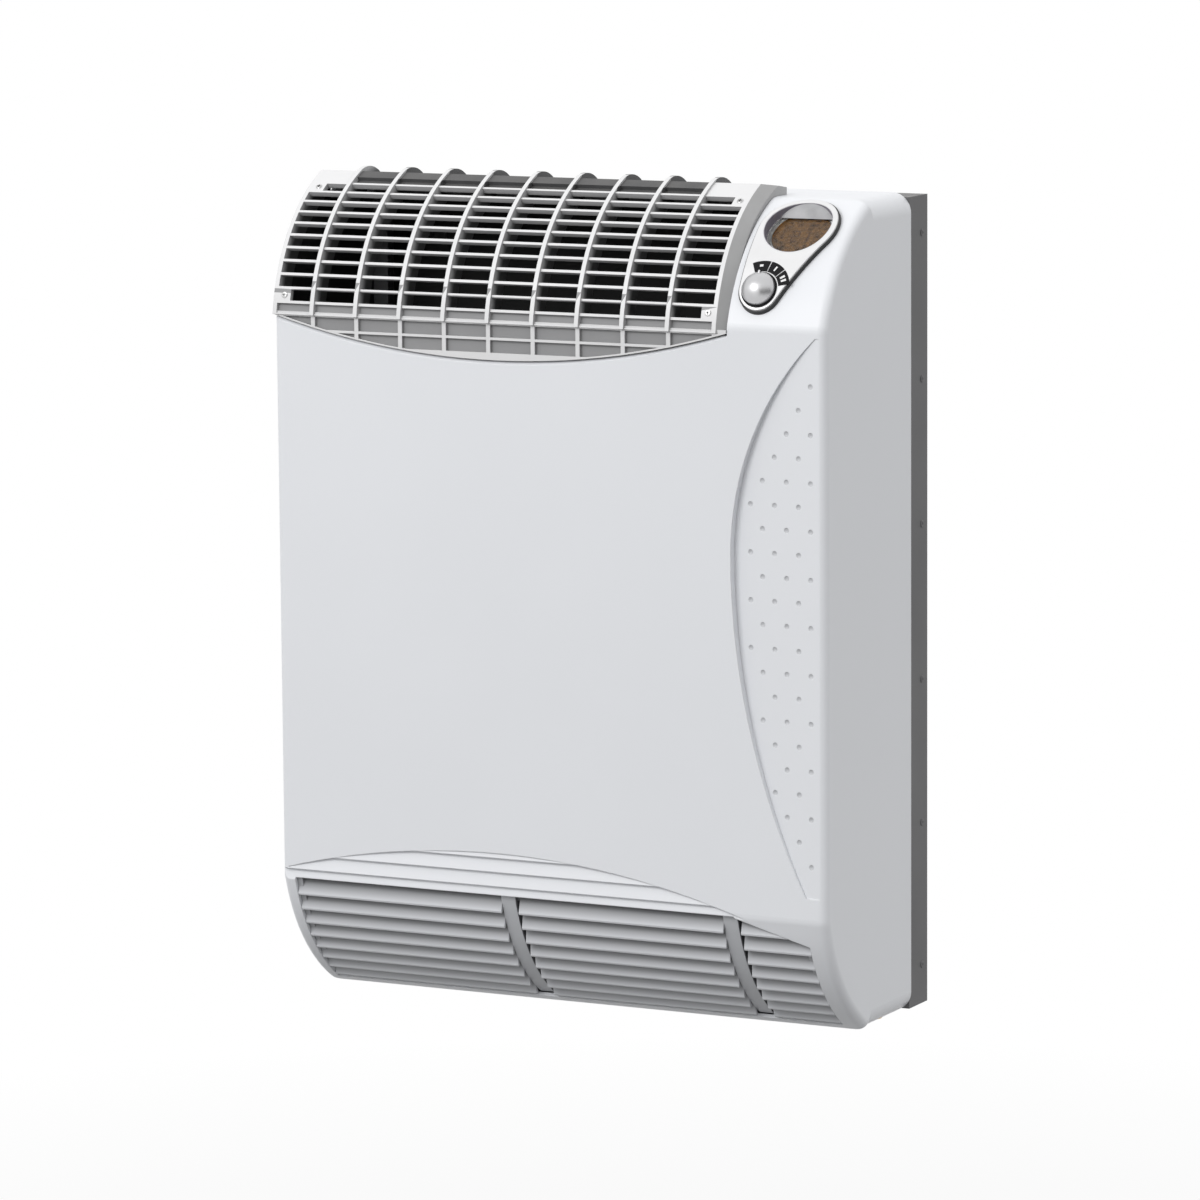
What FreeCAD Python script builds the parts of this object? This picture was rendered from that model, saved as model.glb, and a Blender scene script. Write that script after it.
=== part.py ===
# Wall-hung balanced-flue gas convector heater, in mm.
# X runs to the right, Y towards the wall and Z up. The origin is on the wall plane, at the middle of the
# four wall screws, which is half the casing's height above its underside.
import FreeCAD, Part
import Sketcher
import math
import os
import re

V = FreeCAD.Vector
doc = FreeCAD.newDocument("gas_heater")
sheet = doc.addObject("Spreadsheet::Sheet", "Sizes")
aliases = []
pieces = {}


def sizes(table):
    """Write a table of driving sizes to the sheet, each under its own alias."""
    for alias, value in table.items():
        row = len(aliases) + 1
        sheet.set(f"A{row}", alias)
        sheet.set(f"B{row}", str(value))
        sheet.setAlias(f"B{row}", alias)
        aliases.append(alias)
    sheet.recompute()


def bound(text):
    """Turn a sum of aliases into an expression on the sheet."""
    return re.sub(r"[a-z][a-z_0-9]*", lambda m: f"Sizes.{m[0]}" if m[0] in aliases else m[0], text)


def number(text):
    """The present value of a sum of aliases."""
    return float(sheet.evalExpression(bound(text)))


def bind(item, **properties):
    """Bind properties to sums of aliases."""
    for name, text in properties.items():
        item.setExpression(name, bound(text))
    return item


def place(item, corner):
    """Bind a position to three sums of aliases."""
    for axis, text in zip("xyz", corner):
        item.setExpression(f"Placement.Base.{axis}", bound(text))
    return item


def keep(label, item):
    """Name an object as one sub-part of the heater."""
    item.Label = label
    pieces[label] = item
    return item


def up(text):
    """A height above the casing's underside, as a Z in the heater's frame."""
    return f"{text} - casing_height / 2"


# Turns that take a cylinder's own axis from Z to another axis
TURNS = {
    "z": FreeCAD.Rotation(),
    "x": FreeCAD.Rotation(V(0, 1, 0), 90),
    "y": FreeCAD.Rotation(V(1, 0, 0), -90),
}
PLANES = {
    "XY": FreeCAD.Rotation(),
    "XZ": FreeCAD.Rotation(V(1, 0, 0), 90),
    "YZ": FreeCAD.Rotation(90, 0, 90),
}


def box(name, size, corner, kind="Part::Box", body=None):
    """A box with bound sides and corner, free or as a feature of a body."""
    item = body.newObject(kind, name) if body else doc.addObject(kind, name)
    bind(item, Length=size[0], Width=size[1], Height=size[2])
    return place(item, corner)


def rod(name, radius, length, start, axis, kind="Part::Cylinder", body=None):
    """A cylinder from a start point along one axis, free or as a feature of a body."""
    item = body.newObject(kind, name) if body else doc.addObject(kind, name)
    item.Placement = FreeCAD.Placement(V(), TURNS[axis])
    bind(item, Radius=radius, Height=length)
    return place(item, start)


def fuse(name, *items):
    item = doc.addObject("Part::MultiFuse", name)
    item.Shapes = list(items)
    item.Refine = True
    return item


def cut(name, base, *tools):
    item = doc.addObject("Part::Cut", name)
    item.Base = base
    item.Tool = tools[0] if len(tools) == 1 else fuse(f"{name}_tools", *tools)
    item.Refine = True
    return item


def common(name, first, second):
    item = doc.addObject("Part::Common", name)
    item.Base = first
    item.Tool = second
    return item


def longer(start, axis):
    """A start point moved back by the overrun along an axis, for a cut that passes right through."""
    return tuple(f"{text} - overrun" if axis == name else text for name, text in zip("xyz", start))


def tube(name, radius, bore, length, start, axis):
    """A pipe with a bore right through it."""
    outside = rod(f"{name}_outside", radius, length, start, axis)
    inside = rod(f"{name}_bore", bore, f"{length} + 2 * overrun", longer(start, axis), axis)
    return cut(name, outside, inside)


def own_plane(body, role):
    return next(item for item in body.Origin.OriginFeatures if item.Role == role)


def new_sketch(name, plane, body=None):
    """An empty sketch on one of the three planes, free or attached to a body's own origin."""
    if body is None:
        item = doc.addObject("Sketcher::SketchObject", name)
        item.Placement = FreeCAD.Placement(V(), PLANES[plane])
        return item
    item = body.newObject("Sketcher::SketchObject", name)
    item.AttachmentSupport = [(own_plane(body, f"{plane}_Plane"), "")]
    item.MapMode = "FlatFace"
    return item


def hold(item, kind, text, *where):
    """Add a dimension to a sketch and bind it."""
    index = item.addConstraint(Sketcher.Constraint(kind, *where, number(text)))
    item.setExpression(f"Constraints[{index}]", bound(text))


def arc_between(start, end, radius, side):
    """The short arc between two points, its middle on the left (1) or on the right (-1) of the way."""
    chord = end - start
    left = V(-chord.y, chord.x, 0).normalize()
    rise = math.sqrt(max(radius ** 2 - chord.Length ** 2 / 4, 0))
    middle = (start + end) / 2 + left * rise * side
    first, last = (start, end) if side > 0 else (end, start)
    angles = [math.atan2(point.y - middle.y, point.x - middle.x) for point in (first, last)]
    if angles[1] < angles[0]:
        angles[1] += 2 * math.pi
    return Part.ArcOfCircle(Part.Circle(middle, V(0, 0, 1), radius), *angles)


def draw(item, path, closed=True):
    """Draw a path of bound points. A point with a radius and a side is reached by an arc."""
    points = [V(number(step[0]), number(step[1]), 0) for step in path]
    ends = []
    drawn = item.GeometryCount
    last = len(path) if closed else len(path) - 1
    for index in range(last):
        following = (index + 1) % len(path)
        step = path[following]
        if len(step) > 2:
            item.addGeometry(arc_between(points[index], points[following], number(step[2]), step[3]), False)
            ends.append((1, 2) if step[3] > 0 else (2, 1))
        else:
            item.addGeometry(Part.LineSegment(points[index], points[following]), False)
            ends.append((1, 2))
    for index in range(last if closed else last - 1):
        following = (index + 1) % last
        item.addConstraint(
            Sketcher.Constraint(
                "Coincident", drawn + index, ends[index][1], drawn + following, ends[following][0],
            )
        )
    for index in range(last):
        hold(item, "DistanceX", path[index][0], -1, 1, drawn + index, ends[index][0])
        hold(item, "DistanceY", path[index][1], -1, 1, drawn + index, ends[index][0])
        arriving = path[(index + 1) % len(path)]
        if len(arriving) > 2:
            hold(item, "Radius", arriving[2], drawn + index)
    if not closed:
        hold(item, "DistanceX", path[-1][0], -1, 1, drawn + last - 1, ends[-1][1])
        hold(item, "DistanceY", path[-1][1], -1, 1, drawn + last - 1, ends[-1][1])
    return item


def ring(item, x, y, radius):
    """Draw a bound circle."""
    index = item.addGeometry(Part.Circle(V(number(x), number(y), 0), V(0, 0, 1), number(radius)), False)
    hold(item, "DistanceX", x, -1, 1, index, 3)
    hold(item, "DistanceY", y, -1, 1, index, 3)
    hold(item, "Radius", radius, index)
    return item


def extrude(name, sketch, length, symmetric=False):
    """A free sketch drawn out along its normal."""
    item = doc.addObject("Part::Extrusion", name)
    item.Base = sketch
    item.DirMode = "Normal"
    item.Solid = True
    item.Symmetric = symmetric
    return bind(item, LengthFwd=length)


def pad(body, sketch, length, symmetric=False, back=False, kind="PartDesign::Pad"):
    """A body's sketch drawn out or cut in along its normal."""
    item = body.newObject(kind, f"{sketch.Name}_{kind[12:].lower()}")
    item.Profile = sketch
    item.SideType = "Symmetric" if symmetric else "One side"
    item.Reversed = back
    return bind(item, Length=length)


def refine_last(body):
    """Merge a large body's flush faces once, at its last feature."""
    for item in body.Group[:-1]:
        if "Refine" in item.PropertiesList:
            item.Refine = False


def pattern(body, kind, item, axis, **properties):
    """Repeat a feature of a body along or around one of the body's own axes."""
    item_pattern = body.newObject(f"PartDesign::{kind}Pattern", f"{item.Name}_pattern")
    item_pattern.Originals = [item]
    reference = (own_plane(body, f"{axis}_Axis"), [""])
    if kind == "Linear":
        item_pattern.Direction = reference
    else:
        item_pattern.Axis = reference
    body.Tip = item_pattern
    return bind(item_pattern, **properties)


# Overall sizes of the casing, the rear frame and the running fits
OVERALL_SIZES = {
    "casing_width": 544, "casing_height": 735, "casing_depth": 181, "frame_depth": 40, "casing_wall": 3.5,
    "seat_gap": 0.3, "shaft_gap": 0.05, "overrun": 2,
}
sizes(OVERALL_SIZES)
FRONT = "-(frame_depth + casing_depth)"

# Rear frame: the dark steel tray that is screwed to the wall and carries everything else
FRAME_SIZES = {
    "frame_inset": 2, "frame_top_inset": 4, "frame_sheet": 1.5, "frame_lip": 16, "wall_hole_radius": 4.5,
    "wall_hole_span": 440,
    "wall_hole_rise": 620, "tab_width": 34, "tab_reach": 22, "tab_spread": 165, "tab_screw_reach": 12,
    "screw_radius": 2, "screw_slack": 0.3, "screw_head_radius": 4, "screw_head": 2.2, "screw_length": 12,
}
sizes(FRAME_SIZES)
# Where the air pipe, the flue pipe, the gas pipe and the mains gland pass the frame
PORT_SIZES = {
    "air_x": 225, "air_rise": 282, "air_pipe_radius": 22, "pipe_wall": 2, "flue_x": 60, "flue_rise": 470,
    "flue_pipe_radius": 20, "pipe_slack": 0.4, "gas_x": 225, "gas_y": -20, "gas_pipe_radius": 7.5,
    "gas_pipe_bore": 6, "gas_stub_radius": 8.3, "gas_stub_length": 15, "port_step": 2, "gland_x": 155,
    "gland_y": -20, "gland_radius": 8, "gland_bore": 4,
}
sizes(PORT_SIZES)
FRAME_WIDTH = "casing_width - 2 * frame_inset"
FRAME_HEIGHT = "(casing_height - frame_inset - frame_top_inset)"
frame_outside = box(
    "frame_outside", (FRAME_WIDTH, "frame_depth", FRAME_HEIGHT),
    ("-casing_width / 2 + frame_inset", "-frame_depth", up("frame_inset")),
)
frame_inside = box(
    "frame_inside",
    (f"{FRAME_WIDTH} - 2 * frame_sheet", "frame_depth - 2 * frame_sheet", f"{FRAME_HEIGHT} - 2 * frame_sheet"),
    ("-casing_width / 2 + frame_inset + frame_sheet", "-frame_depth + frame_sheet",
     up("frame_inset + frame_sheet")),
)
frame_window = box(
    "frame_window",
    (f"{FRAME_WIDTH} - 2 * frame_lip", "frame_depth - frame_sheet", f"{FRAME_HEIGHT} - 2 * frame_lip"),
    ("-casing_width / 2 + frame_inset + frame_lip", "-frame_depth - overrun + frame_sheet / 2",
     up("frame_inset + frame_lip")),
)
frame_holes = [
    rod(
        f"wall_hole_{side}_{level}", "wall_hole_radius", "frame_sheet + 2 * overrun",
        (f"{side} * wall_hole_span / 2", "-frame_sheet - overrun", f"{level} * wall_hole_rise / 2"), "y",
    )
    for side in (-1, 1)
    for level in (-1, 1)
]
frame_ports = [
    rod(
        f"frame_{name}_port", f"{name}_pipe_radius + pipe_slack", "frame_sheet + 2 * overrun",
        (f"{name}_x", "-frame_sheet - overrun", up(f"{name}_rise")), "y",
    )
    for name in ("air", "flue")
]
frame_floor_holes = [
    rod(
        f"frame_{name}_hole", f"{radius} + pipe_slack", "frame_sheet + 2 * overrun",
        (f"{name}_x", f"{name}_y", up("frame_inset - overrun")), "z",
    )
    for name, radius in (("gas", "gas_stub_radius"), ("gland", "gland_radius"))
]
# Tabs that reach forward inside the casing: two take its screws below, two hook it above
frame_tabs = [
    box(
        f"frame_tab_{name}_{side}", ("tab_width", "tab_reach + frame_sheet", "frame_sheet"),
        (f"{side} * tab_spread - tab_width / 2", "-frame_depth - tab_reach", rise),
    )
    for name, rise in (
        ("low", up("casing_wall + seat_gap")),
        ("high", up("casing_height - casing_wall - seat_gap - frame_sheet")),
    )
    for side in (-1, 1)
]
tab_holes = [
    rod(
        f"tab_hole_{side}", "screw_radius", "frame_sheet + 2 * overrun",
        (f"{side} * tab_spread", "-frame_depth - tab_screw_reach", up("casing_wall + seat_gap - overrun")), "z",
    )
    for side in (-1, 1)
]
frame_tray = cut(
    "frame_tray", frame_outside, frame_inside, frame_window, *frame_holes, *frame_ports, *frame_floor_holes,
)
keep("rear_frame", cut("rear_frame", fuse("frame_with_tabs", frame_tray, *frame_tabs), *tab_holes))

# Front casing: one white shell whose upper and lower faces roll back from the flat front
CASING_SIZES = {
    "upper_crease": 630, "upper_set_back": 96, "upper_radius": 168, "lower_crease": 112,
    "lower_set_back": 88, "lower_radius": 182, "crease_soft_radius": 20, "lip_soft_radius": 20,
    "brow_soft_radius": 24, "side_edge_radius": 8, "end_edge_radius": 18, "edge_search": 11, "edge_near": 0.05,
}
sizes(CASING_SIZES)


def casing_path(back):
    """The casing's side outline, from its lower rear corner round the front."""
    return [
        (back, up("0")),
        (f"{FRONT} + lower_set_back", up("0")),
        (FRONT, up("lower_crease"), "lower_radius", -1),
        (FRONT, up("upper_crease")),
        (f"{FRONT} + upper_set_back", up("casing_height"), "upper_radius", -1),
        (back, up("casing_height")),
    ]


def edges_of(shape, test):
    """Numbers of the edges whose ends and middle all pass a test."""
    found = []
    for index, edge in enumerate(shape.Edges, 1):
        middle = edge.valueAt((edge.FirstParameter + edge.LastParameter) / 2)
        if all(test(point) for point in [middle] + [vertex.Point for vertex in edge.Vertexes]):
            found.append(index)
    return found


def runs_across(edge):
    """Whether an edge runs along the casing's width."""
    way = edge.tangentAt(edge.FirstParameter)
    return abs(way.x) > max(abs(way.y), abs(way.z))


def soft_block(name, wire, width, less, rear):
    """A side outline drawn across the width, its cross edges and then its end edges rounded."""
    block = extrude(f"{name}_block", wire, width, True)
    doc.recompute()
    front = number(FRONT)
    span = number(width) / 2
    near = number("edge_near")
    heights = {
        "lip_soft_radius": (front + number("lower_set_back"), number(up("0"))),
        "crease_soft_radius": (front, number(up("lower_crease"))),
        "brow_soft_radius": (front + number("upper_set_back"), number(up("casing_height"))),
    }
    across = []
    for radius, (y, z) in list(heights.items()) + [("crease_soft_radius", (front, number(up("upper_crease"))))]:
        middle = [
            index for index in edges_of(block.Shape, lambda p: math.hypot(p.y - y, p.z - z) < number("edge_search"))
            if runs_across(block.Shape.Edges[index - 1])
        ]
        soft = max(number(radius) - less, less)
        across += [(index, soft, soft) for index in middle]
    first = doc.addObject("Part::Fillet", f"{name}_creases")
    first.Base = block
    first.Edges = across
    doc.recompute()
    flat = number("side_edge_radius") - less
    end = number("end_edge_radius") - less
    sides = []
    low, high = number(up("lower_crease")), number(up("upper_crease"))
    soft = number("crease_soft_radius")
    for index in edges_of(first.Shape, lambda p: abs(abs(p.x) - span) < near):
        edge = first.Shape.Edges[index - 1]
        ends = [edge.valueAt(edge.FirstParameter), edge.valueAt(edge.LastParameter)]
        if all(abs(point.y - rear) < near for point in ends):
            continue
        radii = []
        for point in ends:
            away = max(point.z - high - soft, low - soft - point.z, 0)
            reach = (number("casing_height") - number("upper_crease")) / 2
            radii.append(flat + (end - flat) * min(away / reach, 1))
        sides.append((index, radii[0], radii[1]))
    second = doc.addObject("Part::Fillet", name)
    second.Base = first
    second.Edges = sides
    doc.recompute()
    return second


outline = draw(new_sketch("casing_outline", "YZ"), casing_path("-frame_depth"))
casing_solid = soft_block("casing_solid", outline, "casing_width", 0, number("-frame_depth"))
hollow_outline = draw(new_sketch("hollow_outline", "YZ"), casing_path("-frame_depth + casing_wall + overrun"))
hollow_wire = doc.addObject("Part::Offset2D", "hollow_wire")
hollow_wire.Source = hollow_outline
bind(hollow_wire, Value="-casing_wall")
casing_hollow = soft_block(
    "casing_hollow", hollow_wire, "casing_width - 2 * casing_wall", number("casing_wall"),
    number("-frame_depth + overrun"),
)

# The middles of the two rolled faces, about which the grilles and the control fascia are laid out
UPPER_RISE = "(casing_height - upper_crease)"
UPPER_CHORD = f"sqrt(upper_set_back^2 + {UPPER_RISE}^2)"
UPPER_HALF = f"sqrt(upper_radius^2 - {UPPER_CHORD}^2 / 4)"
UPPER_Y = f"({FRONT} + upper_set_back / 2 + {UPPER_RISE} / {UPPER_CHORD} * {UPPER_HALF})"
UPPER_Z = f"({up(f'upper_crease + {UPPER_RISE} / 2 - upper_set_back / {UPPER_CHORD} * {UPPER_HALF}')})"
LOWER_CHORD = "sqrt(lower_set_back^2 + lower_crease^2)"
LOWER_HALF = f"sqrt(lower_radius^2 - {LOWER_CHORD}^2 / 4)"
LOWER_Y = f"({FRONT} + lower_set_back / 2 + lower_crease / {LOWER_CHORD} * {LOWER_HALF})"
LOWER_Z = f"({up(f'lower_crease / 2 + lower_set_back / {LOWER_CHORD} * {LOWER_HALF}')})"


def polar(radius, angle):
    """A point of a side view at an angle above the way to the front."""
    return (f"-({radius}) * cos({angle})", f"({radius}) * sin({angle})")


def sector(name, middle, inner, outer, first, last, start, length):
    """A curved slab between two radii and two angles about a cross axis, from a start along the width."""
    item = doc.addObject("PartDesign::Body", name)
    place(item, (start, middle[0], middle[1]))
    turn = -1 if number(last) > number(first) else 1
    item_sketch = draw(new_sketch(f"{name}_sketch", "YZ", item), [
        (*polar(inner, first), inner, -turn),
        polar(outer, first),
        (*polar(outer, last), outer, turn),
        polar(inner, last),
    ])
    pad(item, item_sketch, length)
    return item


# Outlet grille sizes: a curved grid of ten columns and ten rows, with blind cells, a hood and an apron
GRILLE_SIZES = {
    "grille_set_back": 154, "grille_rise": 601.5, "grille_radius": 158, "grille_first_angle": 8.2,
    "grille_last_angle": 66.5, "grille_right": 166.5, "grille_width": 438, "column_pitch": 44.15, "columns": 10,
    "row_first_angle": 12.3, "row_angle": 4.64, "rows": 10, "bar_angle": 0.9, "grille_skin": 5, "blind_floor": 1.4,
    "rib_width": 4, "rib_depth": 20, "rib_proud": 2, "hump_radius": 38, "cheek_depth": 22, "cheek_left": 4,
    "cheek_right": 11.5, "cheek_bevel": 9.6, "corner_pad": 13, "hood_reach": 33, "hood_drop": 5,
    "apron_radius": 790, "apron_proud": 1, "apron_sink": 3.4, "apron_lap": 3, "apron_recess": 3.2,
    "apron_rim": 1.6, "apron_rows": 2, "apron_row": 13.6, "apron_bar": 2.4, "apron_bevel": 2.8,
    "grille_slack": 0.4,
}
sizes(GRILLE_SIZES)
GRILLE_Y = f"({FRONT} + grille_set_back)"
GRILLE_Z = f"({up('grille_rise')})"

# Intake louvre sizes: clapboard slats on the lower rolled face, in three bays
LOUVRE_SIZES = {
    "louvre_left": -258, "louvre_width": 510, "louvre_first_angle": 15.6, "louvre_last_angle": 57.5,
    "slats": 8, "slat_first_angle": 15.9, "slat_angle": 5.05, "slat_span_angle": 4.5,
    "slat_lip_angle": 0.55, "slat_depth": 9, "slat_sheet": 2.2, "louvre_depth": 12, "louvre_end": 5,
    "divider_recess": 4.5, "notch_width": 3.5, "notch_depth": 8,
    "divider_width": 14, "divider_left_x": -43, "divider_right_x": 176.6, "louvre_slack": 0.3,
    "louvre_flange": 7, "louvre_flange_sheet": 2, "corner_start": 440, "corner_drop": 25,
}
sizes(LOUVRE_SIZES)

# Casing cut-outs: the grille's seat, the louvre's opening, and the openings of the control fascia
grille_seat = sector(
    "grille_seat", (GRILLE_Y, GRILLE_Z), "grille_radius - cheek_depth - grille_slack",
    "grille_radius + overrun * columns", "grille_first_angle - bar_angle / 2", "90", "-casing_width / 2 - overrun",
    "casing_width / 2 + overrun + grille_right + cheek_right + grille_slack",
)
grille_roof = box(
    "grille_roof", ("casing_width", "casing_depth", "casing_height"),
    ("-casing_width / 2 - overrun",
     f"{GRILLE_Y} - (grille_radius - grille_skin) * cos(grille_last_angle) + 2 * grille_skin", up("0")),
)
louvre_hole = sector(
    "louvre_hole", (LOWER_Y, LOWER_Z), "lower_radius - casing_wall * 2", "lower_radius + overrun",
    "-louvre_first_angle + louvre_slack / 2", "-louvre_last_angle - louvre_slack / 2",
    "louvre_left - louvre_slack", "louvre_width + 2 * louvre_slack",
)


def corner_path(left, middle, lower):
    """The slanting upper right corner of the louvre, seen from the front."""
    top = f"{middle} - lower_radius * sin(louvre_first_angle) - {lower}"
    right = f"{left} + louvre_width + louvre_flange + overrun"
    return [
        (f"{left} + corner_start", top),
        (right, f"{top} - corner_drop"),
        (right, f"{top} + louvre_depth"),
        (f"{left} + corner_start", f"{top} + louvre_depth"),
    ]


louvre_corner = extrude(
    "louvre_corner", draw(new_sketch("louvre_corner_outline", "XZ"), corner_path("louvre_left", LOWER_Z, "0")),
    f"-({FRONT}) + overrun",
)
louvre_gap = cut("louvre_gap", louvre_hole, louvre_corner)
APRON_TOP = "grille_radius * sin(grille_first_angle)"


def apron_path(lower):
    """The front view of the grille's apron, lowered by an amount, for its seat in the casing."""
    low = f"{GRILLE_Z} + {APRON_TOP} - ({lower})"
    left = "grille_right - grille_width - overrun"
    right = "grille_right + cheek_right + grille_slack"
    high = f"{low} + apron_lap * 2"
    return [(left, low), (right, low, "apron_radius", 1), (right, high), (left, high)]


def apron_sketch(name, lower, behind):
    """The apron's seat drawn at a distance behind the casing's front."""
    item = draw(new_sketch(name, "XZ"), apron_path(lower))
    return place(item, ("0", f"{FRONT} + {behind}", "0"))


apron_seat = extrude(
    "apron_seat", apron_sketch("apron_seat_outline", "grille_slack", "(apron_sink + grille_slack)"),
    "apron_sink + grille_slack + overrun",
)
# The seat's edge is sloped, so that it faces up and out
apron_edge = doc.addObject("Part::Loft", "apron_edge")
apron_edge.Sections = [
    apron_sketch("apron_edge_inner", "grille_slack", "apron_bevel"),
    apron_sketch("apron_edge_outer", "grille_slack + apron_bevel + overrun", "(-overrun)"),
]
apron_edge.Solid = True
apron_edge.Ruled = True

# Control fascia sizes: a teardrop on the right of the upper rolled face, a display above and a selector below
FASCIA_SIZES = {
    "fascia_tilt": 42, "fascia_big_x": 222, "fascia_big_up": 28, "fascia_big_radius": 36,
    "fascia_small_x": 205.5, "fascia_small_up": -39, "fascia_small_radius": 19, "fascia_proud": 5,
    "fascia_seat": 0.1, "fascia_step": 2.2, "fascia_reach": 46, "gasket_width": 1.2, "gasket_proud": 3.4,
    "display_tilt": 51.6, "selector_tilt": 28.6, "display_radius": 31, "display_cup_wall": 1.8,
    "display_cup_depth": 8, "display_cup_floor": 2, "display_sight_radius": 27, "lens_thick": 2,
    "lens_gap": 0.2, "module_side": 58, "module_thick": 12, "bushing_radius": 4.8, "bushing_slack": 0.2,
}
sizes(FASCIA_SIZES)


def teardrop(name, margin, length):
    """The fascia's outline, wider or narrower by a margin, drawn out both ways from the rolled face."""
    item = doc.addObject("Sketcher::SketchObject", f"{name}_outline")
    item.Placement = FreeCAD.Placement(V(), FreeCAD.Rotation(V(1, 0, 0), 90 - number("fascia_tilt")))
    place(item, (
        "0", f"{UPPER_Y} - upper_radius * cos(fascia_tilt)", f"{UPPER_Z} + upper_radius * sin(fascia_tilt)",
    ))
    item.setExpression("Placement.Rotation.Angle", bound("90 - fascia_tilt"))
    big = V(number("fascia_big_x"), number("fascia_big_up"), 0)
    small = V(number("fascia_small_x"), number("fascia_small_up"), 0)
    big_text = f"fascia_big_radius + ({margin})"
    small_text = f"fascia_small_radius + ({margin})"
    way = big - small
    lean = math.atan2(way.y, way.x)
    spread = math.acos((number(small_text) - number(big_text)) / way.Length)
    angles = (lean - spread, lean + spread)
    item.addGeometry(Part.ArcOfCircle(Part.Circle(big, V(0, 0, 1), number(big_text)), *angles), False)
    ends = [[
        middle + V(math.cos(angle), math.sin(angle), 0) * number(radius) for angle in angles
    ] for middle, radius in ((big, big_text), (small, small_text))]
    item.addGeometry(Part.LineSegment(ends[0][1], ends[1][1]), False)
    item.addGeometry(
        Part.ArcOfCircle(Part.Circle(small, V(0, 0, 1), number(small_text)), angles[1], angles[0] + 2 * math.pi), False
    )
    item.addGeometry(Part.LineSegment(ends[1][0], ends[0][0]), False)
    for index, following in ((0, 1), (1, 2), (2, 3), (3, 0)):
        item.addConstraint(Sketcher.Constraint("Tangent", index, 2, following, 1))
    for index, word, radius in ((0, "big", big_text), (2, "small", small_text)):
        hold(item, "DistanceX", f"fascia_{word}_x", -1, 1, index, 3)
        hold(item, "DistanceY", f"fascia_{word}_up", -1, 1, index, 3)
        hold(item, "Radius", radius, index)
    return extrude(name, item, length, True)


def radial(item, x, radius, tilt):
    """Stand an object on the upper rolled face's axis, at a radius from it and a tilt from the way to the front."""
    item.Placement = FreeCAD.Placement(V(), FreeCAD.Rotation(V(1, 0, 0), 90 - number(tilt)))
    item.setExpression("Placement.Rotation.Angle", bound(f"90 - ({tilt})"))
    return place(item, (
        x, f"{UPPER_Y} - ({radius}) * cos({tilt})", f"{UPPER_Z} + ({radius}) * sin({tilt})",
    ))


def radial_rod(name, radius, length, x, start, tilt):
    """A cylinder that stands out from the upper rolled face."""
    item = doc.addObject("Part::Cylinder", name)
    bind(item, Radius=radius, Height=length)
    return radial(item, x, start, tilt)


fascia_hole = teardrop("fascia_hole", "-fascia_step", "fascia_reach * 2")

# The clapboard steps on the flat front above the louvre, trimmed by one wide arch
STEP_SIZES = {
    "step_depth": 3.4, "arch_x": -54.5, "arch_radius": 790, "arch_apex": 149.5, "step_low": 106.5,
    "step_pitch": 12.9, "step_count": 4,
}
sizes(STEP_SIZES)
step_path = [(f"{FRONT} - overrun", up("step_low"))]
for index in range(int(number("step_count"))):
    level = f"step_low + step_pitch * {index}"
    step_path += [(FRONT, up(level)), (f"{FRONT} + step_depth", up(f"{level} + step_pitch"))]
step_path += [(f"{FRONT} - overrun", up("step_low + step_pitch * step_count"))]
step_blank = extrude("step_blank", draw(new_sketch("step_outline", "YZ"), step_path), "casing_width + overrun", True)
step_arch = rod(
    "step_arch", "arch_radius", "casing_depth",
    ("arch_x", f"{FRONT} - overrun * 2", up("arch_apex - arch_radius")), "y",
)
steps = common("steps", step_blank, step_arch)
# The wall is thicker behind them, from just above the louvre's flanges
STEP_FOOT = "(lower_crease + louvre_slack)"
step_backing = box(
    "step_backing", ("casing_width", "casing_wall + step_depth", f"step_low + step_pitch * step_count - {STEP_FOOT}"),
    ("-casing_width / 2", FRONT, up(STEP_FOOT)),
)

# The dotted field on the right: a facet turned a little about the right edge, behind a curved step
FACET_SIZES = {
    "facet_left": 181, "facet_right": 268, "facet_depth": 8.5, "facet_waist": 430, "facet_top_x": 262,
    "facet_top": 622.5, "facet_low_x": 252.6, "facet_low": 133, "facet_upper_radius": 268.8,
    "facet_lower_radius": 650, "facet_margin": 4,
    "dimple_first_x": 245, "dimple_first": 602, "dimple_pitch": 24, "dimple_rise": 21, "dimple_radius": 2.4,
    "dimple_depth": 1, "dimple_margin": 6, "dimple_rows": 22, "dimple_columns": 5,
}
sizes(FACET_SIZES)
facet_edge = draw(new_sketch("facet_edge", "XZ"), [
    ("facet_top_x", up("facet_top")),
    ("facet_left", up("facet_waist"), "facet_upper_radius", 1),
    ("facet_low_x", up("facet_low"), "facet_lower_radius", 1),
    ("casing_width / 2 + overrun", up("facet_low")),
    ("casing_width / 2 + overrun", up("facet_top")),
])
facet_field = extrude("facet_field", facet_edge, f"-({FRONT}) + overrun")
facet_plan = draw(new_sketch("facet_plan", "XY"), [
    ("facet_left - facet_margin", f"{FRONT} - overrun"),
    ("casing_width / 2 + overrun", f"{FRONT} - overrun"),
    ("facet_right", FRONT),
    ("facet_left - facet_margin", f"{FRONT} + facet_depth"),
])
facet_wedge = extrude("facet_wedge", facet_plan, "casing_height", True)
facet = common("facet", facet_field, facet_wedge)
# The wall behind the facet follows it inwards
backing_plan = draw(new_sketch("backing_plan", "XY"), [
    ("facet_left - facet_margin", FRONT),
    ("casing_width / 2", FRONT),
    ("casing_width / 2", f"{FRONT} + casing_wall"),
    ("facet_left - facet_margin", f"{FRONT} + facet_depth + casing_wall"),
])
backing = extrude("backing", backing_plan, "facet_top - facet_low + 2 * facet_margin")
place(backing, ("0", "0", up("facet_low - facet_margin")))

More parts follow.
